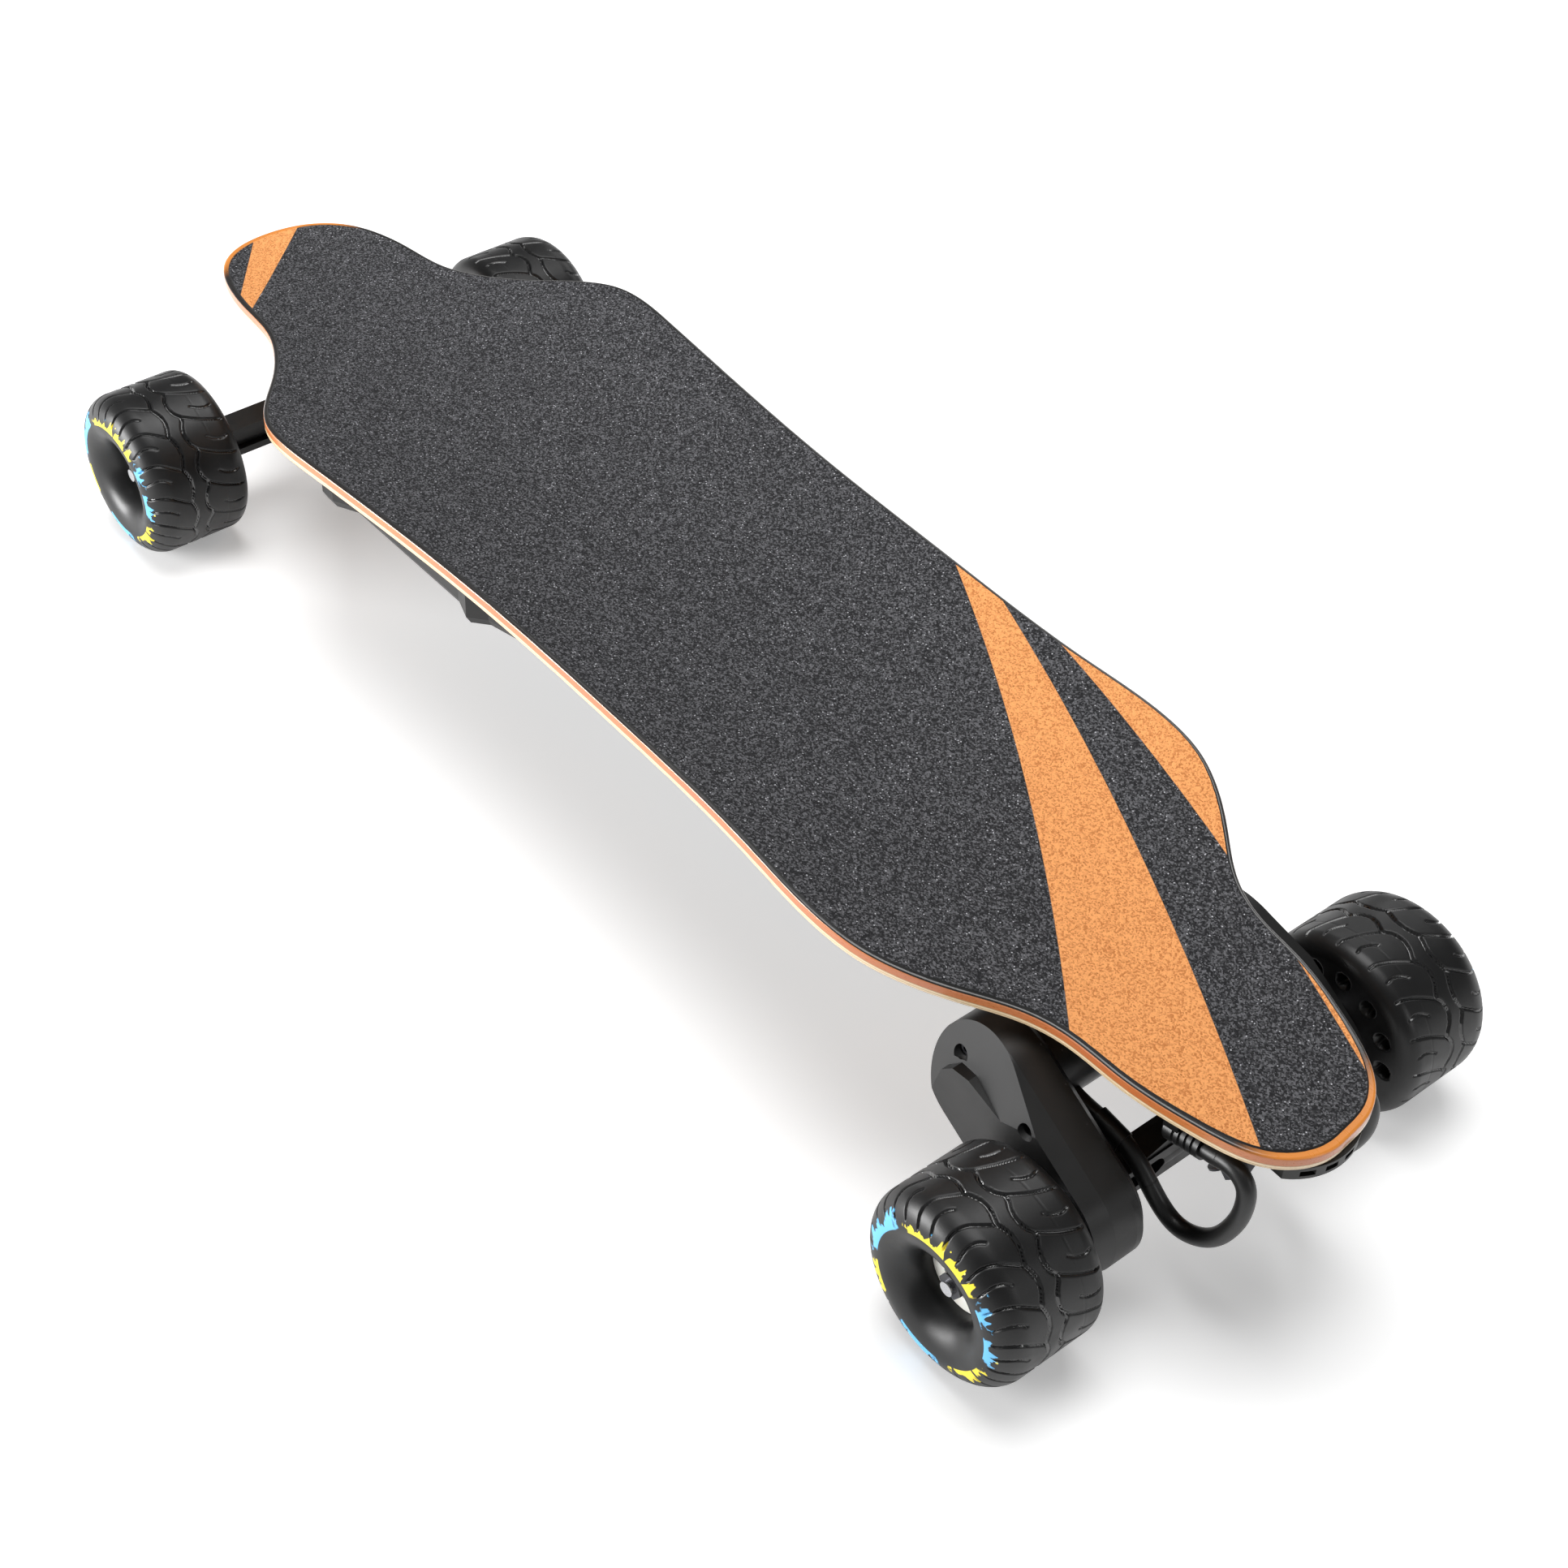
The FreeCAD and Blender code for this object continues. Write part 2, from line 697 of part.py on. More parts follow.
def tyre_profile():
    """Tread, two shoulders, outer bowl that narrows to the hub, and the bore for the hub."""
    steps = 6
    corners = []
    inner, outer = "inner_shoulder", "outer_shoulder"
    corners.append(("hub_waist + 2", "0"))
    for shoulder, at_outer in ((inner, False), (outer, True)):
        arc = []
        for i in range(steps + 1):
            turn = math.pi / 2 * i / steps
            inset = 1 - math.sin(turn)
            rise = 1 - math.cos(turn)
            radius = f"tyre_rad - {inset * dim(shoulder):.4f}"
            along = f"{rise * dim(shoulder):.4f}"
            if at_outer:
                along = f"wheel_wide - {rise * dim(shoulder):.4f}"
            arc.append((radius, along if i or at_outer else "0"))
        corners += reversed(arc) if at_outer else arc
    bowl = 5
    for i in range(bowl + 1):
        turn = math.pi / 2 * i / bowl
        depth = (1 - math.cos(turn)) * (dim("wheel_wide") - dim("hub_face"))
        narrow = math.sin(turn) * (dim("bowl_rad") - dim("hub_rad"))
        if i:
            corners.append((f"bowl_rad - {narrow:.4f}", f"wheel_wide - {depth:.4f}"))
    corners.append(("hub_rad", "hub_face - 4"))
    corners.append(("hub_waist + 2", "hub_face - 4"))
    return corners


def hub_profile(end):
    """Pale core: bearing seats at its ends, flange at the bottom of the bowl."""
    start = "hub_start" if end == FRONT else "hub_start + 3"
    seat = "hub_face - 8.4"
    corners = [("bearing_rad", "hub_face"), ("bearing_rad", seat), ("8.5", seat)]
    if end == FRONT:
        corners += [("8.5", "2.6 + bearing_wide"), ("bearing_rad", "2.6 + bearing_wide")]
        corners += [("bearing_rad", start)]
    else:
        corners += [("8.5", start)]
    corners += [
        ("hub_waist + 2", start),
        ("hub_waist + 2", "hub_face - 4"),
        ("hub_rad", "hub_face - 4"),
        ("hub_rad", "hub_face"),
    ]
    return corners


def make_wheel(end_word, end, side_word, side):
    place = f"{end_word}_{side_word}"
    base = out(end, 0, dim("tyre_rad"), side * dim("wheel_inner"))
    axis = Y * side
    node(turned("tyre_body_" + place, tyre_profile(), base, axis), "tyre_" + place)
    node(turned("hub_body_" + place, hub_profile(end), base, axis), "hub_" + place)
    rings = []
    height = dim("tyre_rad")
    for low, high in bearing_spans(end):
        near, far = out(end, 0, height, side * low), out(end, 0, height, side * high)
        ring = bar(dim("bearing_rad"), near, far)
        bore = bar(dim("axle_rad") + dim("running_gap"), near, far)
        rings.append(ring.cut(bore).Solids[0])
    node(feature("bearings_feature_" + place, Part.makeCompound(rings)), "bearings_" + place)


# ---------------------------------------------------------------- drives


def motor_spot(y=0.0):
    ahead = -dim("axle_half") + dim("motor_ahead")
    return Vector(ahead, y, dim("tyre_rad") + dim("motor_above"))


def axle_spot(y=0.0):
    return out(REAR, 0, dim("tyre_rad"), y)


def pair(vector):
    return (vector.x, vector.z)


def round_both(radius, y):
    """Capsule outline round the axle and the motor, in the plane y."""
    return hull(pair(axle_spot()), radius, pair(motor_spot()), radius, y)


def toothed_pulley(name, teeth_alias, hub_corners, bore, spot, side):
    """Pulley with round tooth gaps; hub_corners continue its profile outward."""
    teeth = int(dim(teeth_alias))
    tip_rad = teeth * dim("belt_pitch") / math.pi / 2 - 0.57
    body = doc.addObject("PartDesign::Body", name + "_body")
    corners = [(bore, "0"), (f"{tip_rad:.4f}", "0"), (f"{tip_rad:.4f}", "belt_wide + 1")]
    sketch = closed_sketch(body, name + "_profile", "XZ_Plane", corners + hub_corners)
    turn = body.newObject("PartDesign::Revolution", name + "_turn")
    turn.Profile = sketch
    turn.ReferenceAxis = (sketch, ["V_Axis"])
    turn.Angle = 360
    doc.recompute()
    before = body.Shape.Volume
    gap = body.newObject("Sketcher::SketchObject", name + "_gap")
    support = [f for f in body.Origin.OriginFeatures if f.Role == "XY_Plane"][0]
    gap.AttachmentSupport = [(support, "")]
    gap.MapMode = "FlatFace"
    gap.addGeometry(Part.Circle(Vector(tip_rad, 0, 0), Z, 1.5), False)
    pocket = body.newObject("PartDesign::Pocket", name + "_gap_pocket")
    pocket.Profile = gap
    pocket.Length = dim("belt_wide") + 1
    pocket.Reversed = True
    doc.recompute()
    ring = body.newObject("PartDesign::PolarPattern", name + "_gaps")
    ring.Originals = [pocket]
    ring.Axis = (gap, ["N_Axis"])
    ring.Angle = 360
    ring.Occurrences = teeth
    body.Tip = ring
    body.Placement = Placement(spot, facing(Y * side))
    doc.recompute()
    if body.Shape.Volume > before - teeth * 10:
        raise RuntimeError(name + ": the tooth gaps were not cut")
    return body


def belt_shape(side):
    """Closed loop that rests on the tips of both pulleys' teeth."""
    pitch = dim("belt_pitch") / math.pi / 2
    clear = dim("running_gap") - 0.57
    big, small = dim("wheel_teeth") * pitch + clear, dim("motor_teeth") * pitch + clear
    thick = dim("belt_thick")
    start, stop = dim("belt_inner") + 0.5, dim("belt_inner") + 0.5 + dim("belt_wide")
    ends = [pair(axle_spot()), pair(motor_spot())]
    outer = hull(ends[0], big + thick, ends[1], small + thick, start)
    inner = hull(ends[0], big, ends[1], small, start)
    loop = Part.Face([outer, inner])
    if loop.Area < 0 or not loop.isValid():
        loop = Part.Face(outer).cut(Part.Face(inner)).Faces[0]
    return mirrored(loop.extrude(Vector(0, stop - start, 0)), side)


def drive_point(along, above, y=0.0):
    """A point given along the line from axle to motor and square above that line."""
    way = (motor_spot() - axle_spot()).normalize()
    return axle_spot(y) + way * along + Vector(-way.z, 0, way.x) * above


COVER_SCREWS = [(89.4, 0.5), (42.0, 26.0)]
BOSS_RAD = 4.6


def cover_screw_spots():
    """Two sunk screws: one ahead of the motor pulley, one above the belt."""
    return [drive_point(along, above) for along, above in COVER_SCREWS]


FACET_RISE = 0.27  # how fast the cover's sloping facet nears the board, going forward
FACET_TILT = 0.20  # and going up


def facet_height(along, above):
    """Where the sloping facet lies, as a distance from the centre plane."""
    return 86.9 - FACET_RISE * (along - 67) - FACET_TILT * (above - dim("cover_rad"))


def above_facet(lower):
    """Everything outside the sloping facet, or outside a plane that much under it."""
    spots = [(-60, -60), (160, -60), (160, 60), (-60, 60)]
    corners = [drive_point(a, b, facet_height(a, b) - lower) for a, b in spots]
    return Part.Face(Part.makePolygon(corners + [corners[0]])).extrude(Y * 80)


def flat_panel():
    """The part of the cover's outer face that the facet leaves alone."""
    turn = [(-60, 50), (20, 19.5), (55, 11), (76, 6), (85, -1), (87.5, -11), (84, -24), (72, -60)]
    corners = [drive_point(a, b, 60) for a, b in turn + [(-60, -60)]]
    return Part.Face(Part.makePolygon(corners + [corners[0]])).extrude(Y * 60)


DRAFT_FROM, DRAFT = 84.0, 0.19  # the cover narrows outward from here, by this slope


def drafted_capsule(radius, start, stop):
    narrow = radius - DRAFT * (stop - DRAFT_FROM)
    body = slab_between(round_both(radius, start), round_both(radius, DRAFT_FROM))
    outer = slab_between(round_both(radius, DRAFT_FROM), round_both(narrow, stop))
    return body.fuse(outer).removeSplitter()


def cover_shape(side):
    """Hollow capsule over the belt with a sloping facet along its upper front."""
    radius, wall = dim("cover_rad"), dim("cover_wall")
    start, face = dim("mount_outer"), dim("cover_face")
    body = drafted_capsule(radius, start, face)
    body = body.cut(above_facet(0).cut(flat_panel()))
    room = drafted_capsule(radius - wall, start - 1, face - wall)
    shell = body.cut(room.cut(above_facet(wall - 0.2)))
    shell = shell.cut(bar(21.6, axle_spot(face - 20), axle_spot(face + 5)))
    for spot in cover_screw_spots():
        boss = bar(BOSS_RAD, spot + Y * start, spot + Y * (face - 1)).common(body)
        shell = shell.fuse(boss)
    for spot, (along, above) in zip(cover_screw_spots(), COVER_SCREWS):
        surface = min(facet_height(along, above), face)
        seat = spot + Y * (start + 11)
        sink = bar(BOSS_RAD - 1.2, seat, spot + Y * (face + 5))
        flare = Part.makeCone(BOSS_RAD - 1.2, BOSS_RAD + 1, 3.4, spot + Y * (surface - 2.4), Y)
        shank = bar(dim("screw_rad") + 0.2, spot + Y * (start - 1), spot + Y * face)
        shell = shell.cut(sink.fuse([flare, shank]))
    return mirrored(shell.removeSplitter().Solids[0], side)


def mount_shape(side):
    """Clamp plate that carries the motor on the hanger; its inboard edge is bevelled."""
    radius = dim("cover_rad")
    start, stop = dim("mount_inner"), dim("mount_outer")
    plate = slab_between(round_both(radius - 4, start), round_both(radius, start + 4))
    plate = plate.fuse(slab_between(round_both(radius, start + 4), round_both(radius, stop)))
    tube_rad = dim("beam_half_high") - 0.5
    plate = plate.removeSplitter().cut(bar(tube_rad, axle_spot(50), axle_spot(90)))
    plate = plate.cut(bar(6.5, motor_spot(50), motor_spot(90)))
    for spot in cover_screw_spots():
        plate = plate.cut(bar(dim("screw_rad"), spot + Y * (start - 1), spot + Y * 100))
    for i in range(4):
        spot = motor_screw_spot(i)
        plate = plate.cut(bar(dim("screw_rad"), spot + Y * 50, spot + Y * 90))
    return mirrored(plate.Solids[0], side)


def motor_screw_spot(i):
    angle = math.radians(75 + 90 * i)
    return motor_spot() + Vector(math.cos(angle), 0, math.sin(angle)) * 15


def make_motor(word, side):
    base = motor_spot(side * dim("motor_inner"))
    axis = Y * side
    length = "mount_inner - motor_inner"
    housing = [
        ("0", "0"),
        ("motor_rad - 3", "0"),
        ("motor_rad", "3"),
        ("motor_rad", length),
        ("motor_rad - motor_wall", length),
        ("motor_rad - motor_wall", "motor_wall + 1"),
        ("0", "motor_wall + 1"),
    ]
    node(turned("housing_body_" + word, housing, base, axis), "motor_housing_" + word)
    clear = 1.0
    rotor = [
        ("0", "motor_wall + 1.1"),
        ("shaft_rad", "motor_wall + 1.1"),
        ("shaft_rad", "8"),
        ("12", "8"),
        ("12", "36"),
        ("shaft_rad", "36"),
        ("shaft_rad", "mount_outer - motor_inner + 17.5"),
        ("0", "mount_outer - motor_inner + 17.5"),
    ]
    node(turned("rotor_body_" + word, rotor, base, axis), "motor_rotor_" + word)
    coil = bar(dim("motor_rad") - dim("motor_wall"), base + axis * 10, base + axis * 34)
    coil = coil.cut(bar(12 + clear, base, base + axis * 60))
    spot = motor_spot(side * dim("belt_inner"))
    toothed = toothed_pulley(
        "small_pulley_" + word,
        "motor_teeth",
        [("shaft_rad", "belt_wide + 1")],
        "shaft_rad",
        spot,
        side,
    )
    node(toothed, "motor_pulley_" + word)
    return coil.Solids[0]


def make_wheel_pulley(word, side):
    """Driven pulley: teeth, then a hub that passes out of the cover into the wheel's core."""
    seat = "bearing_wide + 1.65"
    hub_corners = [
        ("20", "belt_wide + 1"),
        ("20", "wheel_inner - belt_inner - 1"),
        ("hub_waist + 2", "wheel_inner - belt_inner - 1"),
        ("hub_waist + 2", "wheel_inner - belt_inner + hub_start + 3"),
        ("6.6", "wheel_inner - belt_inner + hub_start + 3"),
        ("6.6", seat),
        ("bearing_rad", seat),
    ]
    spot = axle_spot(side * dim("belt_inner"))
    pulley = toothed_pulley(
        "big_pulley_" + word, "wheel_teeth", hub_corners, "bearing_rad", spot, side
    )
    node(pulley, "wheel_pulley_" + word)


def make_drive_screws():
    """Cover screws and motor screws, left and right."""
    solids = []
    for side in SIDES.values():
        for spot in cover_screw_spots():
            start = dim("mount_inner") + 1
            seat = dim("mount_outer") + 11
            screw = cap_screw(spot + Y * seat, Y, seat - start, BOSS_RAD - 1.4)
            solids.append(mirrored(screw, side))
        for i in range(4):
            spot = motor_screw_spot(i)
            seat = dim("mount_outer")
            screw = cap_screw(spot + Y * seat, Y, seat - dim("mount_inner"), 3.2, 2.4)
            solids.append(mirrored(screw, side))
    node(feature("drive_screws_feature", Part.makeCompound(solids)), "drive_screws")


def cap_screw(seat, axis, length, head_rad, head_high=3.5):
    """Socket-head screw whose head rests on seat and whose shank runs against axis."""
    shank = bar(dim("screw_rad"), seat, seat - axis * length)
    head = bar(head_rad, seat, seat + axis * head_high)
    socket = bar(head_rad * 0.5, seat + axis * (head_high - 1.8), seat + axis * (head_high + 1))
    return shank.fuse(head).cut(socket).removeSplitter().Solids[0]


def cable_path():
    """Centre line of the left motor cable: back over the hanger, a loop, up to its clamp."""
    back = -dim("axle_half")
    height = dim("tyre_rad")
    points = [
        (35, 50.5, 28.5),
        (18, 50, 27),
        (7, 49.5, 26),
        (-4.4, 48.5, 21.3),
        (-14.5, 47.5, 13),
        (-25, 46.5, 2.5),
        (-38, 46, -3.3),
        (-55, 45, 4),
        (-66.5, 44, 23.9),
        (-69.7, 43, 44),
        (-66, 42, 55),
        (-59, 41.5, 58),
        (-50, 41, 56),
        (-40, 40.5, 53.5),
    ]
    return [Vector(back + dx, y, height + dz) for dx, y, dz in points]


def make_cables():
    points = cable_path()
    spline = Part.BSplineCurve()
    spline.interpolate(points)
    path = Part.Wire(spline.toShape())
    start_way = spline.tangent(spline.FirstParameter)[0]
    circle = Part.Wire(Part.Circle(points[0], start_way, dim("cable_rad")).toShape())
    sheath = path.makePipeShell([circle], True, True)
    plug = bar(dim("cable_rad") + 1.2, points[1], points[2] + (points[3] - points[2]) * 0.6)
    sheath = sheath.fuse(plug).removeSplitter()
    can = bar(dim("motor_rad"), motor_spot(0), motor_spot(80))
    sheath = sheath.cut(can).Solids[0]
    clamps = []
    for word, side in SIDES.items():
        node(feature("cable_feature_" + word, mirrored(sheath, side)), "motor_cable_" + word)
        clamps.append(mirrored(cable_clamp(points[-1]).cut(sheath), side))
    node(feature("glands_feature", Part.makeCompound(clamps)), "cable_glands")


def cable_clamp(start):
    """Ribbed sleeve on a foot that carries the wires up into the deck."""
    way = Vector(0.97, 0, -0.24).normalize()
    sleeve = bar(6.4, start + way * 0.2, start + way * 22)
    for i in range(4):
        low = start + way * (3 + 4 * i)
        groove = bar(9, low, low + way * 1.6).cut(bar(5.4, low, low + way * 1.6))
        sleeve = sleeve.cut(groove)
    foot = Part.makeBox(9, 10, 40, start + Vector(14, -5, -5))
    return sleeve.fuse(foot).common(layer(-dim("deck_thick"), 60)).removeSplitter().Solids[0]


# ---------------------------------------------------------------- underside enclosure


def box_outline(grow):
    """Plan of the enclosure's floor: wide front bay with small wings, narrower rear bay."""
    left = [
        (264, 60),
        (260, 92),
        (249, 98),
        (239, 98),
        (226, 91),
        (118, 89),
        (103, 94),
        (94, 86),
        (62, 78),
        (40, 76),
        (-200, 76),
        (-232, 62),
        (-240, 40),
    ]
    right = [(x, -y) for x, y in reversed(left)]
    corners = [Vector(x, y, 0) for x, y in left + right]
    wire = Part.makePolygon(corners + [corners[0]])
    return wire.makeOffset2D(grow, 2) if grow else wire


def box_solid(shrink, low):
    """Tray with a bevelled lower edge; shrink pulls it all inward."""
    flare = dim("box_flare")
    foot, wide = box_outline(-shrink - 0.01), box_outline(flare - shrink)
    bend = low + 6
    foot.translate(Vector(0, 0, low))
    wide.translate(Vector(0, 0, bend))
    bevel = Part.makeLoft([foot, wide], True, True)
    return bevel.fuse(prism(box_outline(flare - shrink), bend, DECK_HIGH)).removeSplitter()


def make_enclosure():
    floor, wall = dim("box_floor"), dim("box_wall")
    flare, wide = dim("box_flare"), dim("box_flare") + dim("flange_wide")
    flange_top = -dim("deck_thick") - dim("gasket_thick")
    outer = box_solid(0, floor).common(layer(flange_top, 70))
    rim = prism(box_outline(wide), DECK_LOW, DECK_HIGH)
    flange = layer(flange_top, dim("flange_thick")).common(rim)
    shell = outer.fuse(flange).cut(box_solid(wall, floor + wall))
    for x, y in screw_places():
        shell = shell.cut(bar(dim("screw_rad") + 0.2, Vector(x, y, 80), Vector(x, y, 160)))
    shell = shell.cut(bar(dim("port_rad"), port_spot() - Y * 10, port_spot() + Y * 20))
    hole_rad = dim("button_rad") + 0.05
    shell = shell.cut(bar(hole_rad, button_spot() - Y * 10, button_spot() + Y * 20))
    node(feature("enclosure_feature", shell.removeSplitter().Solids[0]), "enclosure")

    ring = rim.cut(prism(box_outline(flare - wall), DECK_LOW, DECK_HIGH))
    gasket = layer(-dim("deck_thick"), dim("gasket_thick")).common(ring)
    for x, y in screw_places():
        gasket = gasket.cut(bar(dim("screw_rad") + 0.2, Vector(x, y, 80), Vector(x, y, 160)))
    node(feature("gasket_feature", gasket.Solids[0]), "enclosure_gasket")


SCREW_PLACES = [(244, 105), (172, 97.5), (20, 83), (-80, 83), (-180, 83)]
END_SCREWS = [(271.3, 0), (-247.3, 0)]


def screw_places():
    sides = SIDES.values()
    return [(x, side * y) for x, y in SCREW_PLACES for side in sides] + END_SCREWS


def pan_screw(x, y, seat, tip):
    """Screw driven up from below: its head hangs under seat, its shank ends at tip."""
    head = bar(dim("screw_head"), Vector(x, y, seat - 2.6), Vector(x, y, seat))
    shank = bar(dim("screw_rad"), Vector(x, y, seat - 1), Vector(x, y, tip))
    socket = hexagon(Vector(x, y, seat - 3), Z, 1.7, 1.8)
    return head.fuse(shank).cut(socket).removeSplitter().Solids[0]


def make_underside_screws():
    """Screws of the enclosure and of the tail bumper."""
    screws = []
    under_flange = dim("gasket_thick") + dim("flange_thick")
    for x, y in screw_places():
        # the head is sunk a little, for the flange under it is curved
        seat = underside(x, y) - under_flange - 0.9
        screws.append(pan_screw(x, y, seat, underside(x, y) + 6))
    for x, y in BUMPER_SCREWS:
        screws.append(pan_screw(x, y, bumper_low() + 4, underside(x, y) + 6))
    node(feature("screws_feature", Part.makeCompound(screws)), "underside_screws")


def port_spot():
    return Vector(-110, -79, 112)


def button_spot():
    return Vector(-150, -79, 112)


def make_power_parts():
    battery = block("battery_block", (192, 144, 24), Vector(44, -72, 96))
    fillet = doc.addObject("Part::Fillet", "battery_rounded")
    fillet.Base = battery
    doc.recompute()
    fillet.Edges = [(i + 1, 4.0, 4.0) for i in range(len(battery.Shape.Edges))]
    node(fillet, "battery_pack")
    board = block("controller_board", (120, 70, 2), Vector(-205, -28, 104))
    sink = block("controller_sink", (90, 60, 8), Vector(-190, -23, 96.2))
    cells = [
        rod(f"controller_cap_{i}", 5, 14, Vector(-190 + 16 * i, 20, 105.5), Z)
        for i in range(5)
    ]
    node(joined("controller_fused", [board, sink] + cells), "motor_controller")


def make_port_and_button():
    """Charging socket with its hinged cap, and the push button beside it."""
    socket = [
        ("port_bore", "-1.5"),
        ("port_rad + 2", "-1.5"),
        ("port_rad + 2", "0"),
        ("port_rad", "0"),
        ("port_rad", "14"),
        ("0", "14"),
        ("0", "12"),
        ("port_bore", "12"),
    ]
    barrel = turned("socket_body", socket, port_spot(), Y)
    node(joined("socket_fused", [barrel, feature("hinge_feature", cap_hinge())]), "charge_port")
    node(feature("cap_feature", cap_shape()), "charge_cap")
    knob = [
        ("0", "-3"),
        ("button_rad - 1", "-3"),
        ("button_rad", "-2"),
        ("button_rad", "8"),
        ("0", "8"),
    ]
    node(turned("button_body", knob, button_spot(), Y), "power_button")


def hinge_line(reach):
    """The cap's hinge axis, reach to either side of the socket's middle."""
    middle = port_spot() + Vector(0, -2.9, 15.2)
    return middle - X * reach, middle + X * reach


def cap_shape():
    """Round lid over the socket's mouth, with a strap up to its hinge barrel."""
    front = port_spot() + Y * -1.6
    lid = bar(dim("port_rad") + 1.6, front - Y * 2.4, front)
    strap = Part.makeBox(7, 2.4, 6.2, front + Vector(-3.5, -2.4, dim("port_rad")))
    barrel = bar(1.5, *hinge_line(4))
    cap = lid.fuse([strap, barrel]).removeSplitter()
    return cap.cut(bar(0.85, *hinge_line(9))).Solids[0]


def cap_hinge():
    """Pin and two ears above the socket, on a plate joined to the socket's rim."""
    ears = []
    for start in (-6.8, 4.4):
        corner = port_spot() + Vector(start, -4.5, 13.2)
        ears.append(Part.makeBox(2.4, 4.5, 3.8, corner))
    plate = Part.makeBox(13.6, 1.2, 8, port_spot() + Vector(-6.8, -1.2, 9))
    plate = plate.cut(bar(dim("port_rad") + 1, port_spot() - Y * 5, port_spot() + Y * 5))
    return bar(0.8, *hinge_line(6)).fuse(ears + [plate]).removeSplitter()


# ---------------------------------------------------------------- tail bumper


BUMPER_SCREWS = [(-450, 14), (-450, -14)]
BUMPER_RAD = 38.5
BUMPER_DEEP = 18.0
BUMPER_WIDE = 55.0
BUMPER_HIGH = 8.0


def bumper_low():
    return underside(-460, 0) - BUMPER_HIGH


def make_bumper():
    """Slotted, curved bar under the tail that stands a little beyond its rim."""
    low = bumper_low()
    middle = Vector(dim("tail_tip") - 1.5 + BUMPER_RAD, 0, low)
    inside = Part.makeCylinder(BUMPER_RAD - BUMPER_DEEP, 60, middle)
    ring = Part.makeCylinder(BUMPER_RAD, 60, middle).cut(inside)
    tail = Part.makeBox(60, BUMPER_WIDE, 200, middle + Vector(-80, -BUMPER_WIDE / 2, -20))
    piece = ring.common(tail)
    for y in (-18, -6, 6, 18):
        corner = Vector(dim("tail_tip") - 5, y - 3.5, low + 2)
        piece = piece.cut(Part.makeBox(12, 7, 3.5, corner))
    for x, y in BUMPER_SCREWS:
        piece = piece.fuse(bar(5.5, Vector(x, y, low), Vector(x, y, DECK_HIGH)))
    piece = piece.common(layer(-dim("deck_thick"), 60))
    for x, y in BUMPER_SCREWS:
        piece = piece.cut(bar(dim("screw_rad"), Vector(x, y, 80), Vector(x, y, 160)))
        piece = piece.cut(bar(dim("screw_head") + 0.3, Vector(x, y, 80), Vector(x, y, low + 4)))
    node(feature("bumper_feature", piece.removeSplitter().Solids[0]), "tail_bumper")


# ---------------------------------------------------------------- build and write


def build():
    make_deck()
    make_pads()
    make_truck_bolts()
    make_kingpin_set()
    for word, end in ENDS.items():
        make_baseplate(word, end)
        make_hanger(word, end)
        make_axle(word, end)
    for end_word, end in ENDS.items():
        for side_word, side in SIDES.items():
            make_wheel(end_word, end, side_word, side)
    coils = []
    for word, side in SIDES.items():
        node(feature("mount_feature_" + word, mount_shape(side)), "motor_mount_" + word)
        node(feature("cover_feature_" + word, cover_shape(side)), "belt_cover_" + word)
        coils.append(make_motor(word, side))
        make_wheel_pulley(word, side)
    belts = [belt_shape(side).Solids[0] for side in SIDES.values()]
    node(feature("belts_feature", Part.makeCompound(belts)), "drive_belts")
    node(feature("stators_feature", Part.makeCompound(coils)), "motor_stators")
    make_drive_screws()
    make_cables()
    make_enclosure()
    make_underside_screws()
    make_power_parts()
    make_port_and_button()
    make_bumper()
    doc.recompute()


def check_all():
    for obj in doc.Objects:
        if "Invalid" in obj.State or "Error" in obj.State:
            raise RuntimeError(f"{obj.Label}: {obj.State}")
    for obj in NODES:
        if obj.Shape.isNull() or not obj.Shape.isValid() or not obj.Shape.Solids:
            raise RuntimeError(f"{obj.Label}: bad shape")


def write_all():
    os.makedirs("parts", exist_ok=True)
    for obj in NODES:
        obj.Shape.exportStep(f"parts/{obj.Label}.step")


build()
check_all()
write_all()
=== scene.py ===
import json
import math

import bmesh
import bpy
import numpy as np
from mathutils import Matrix, Vector

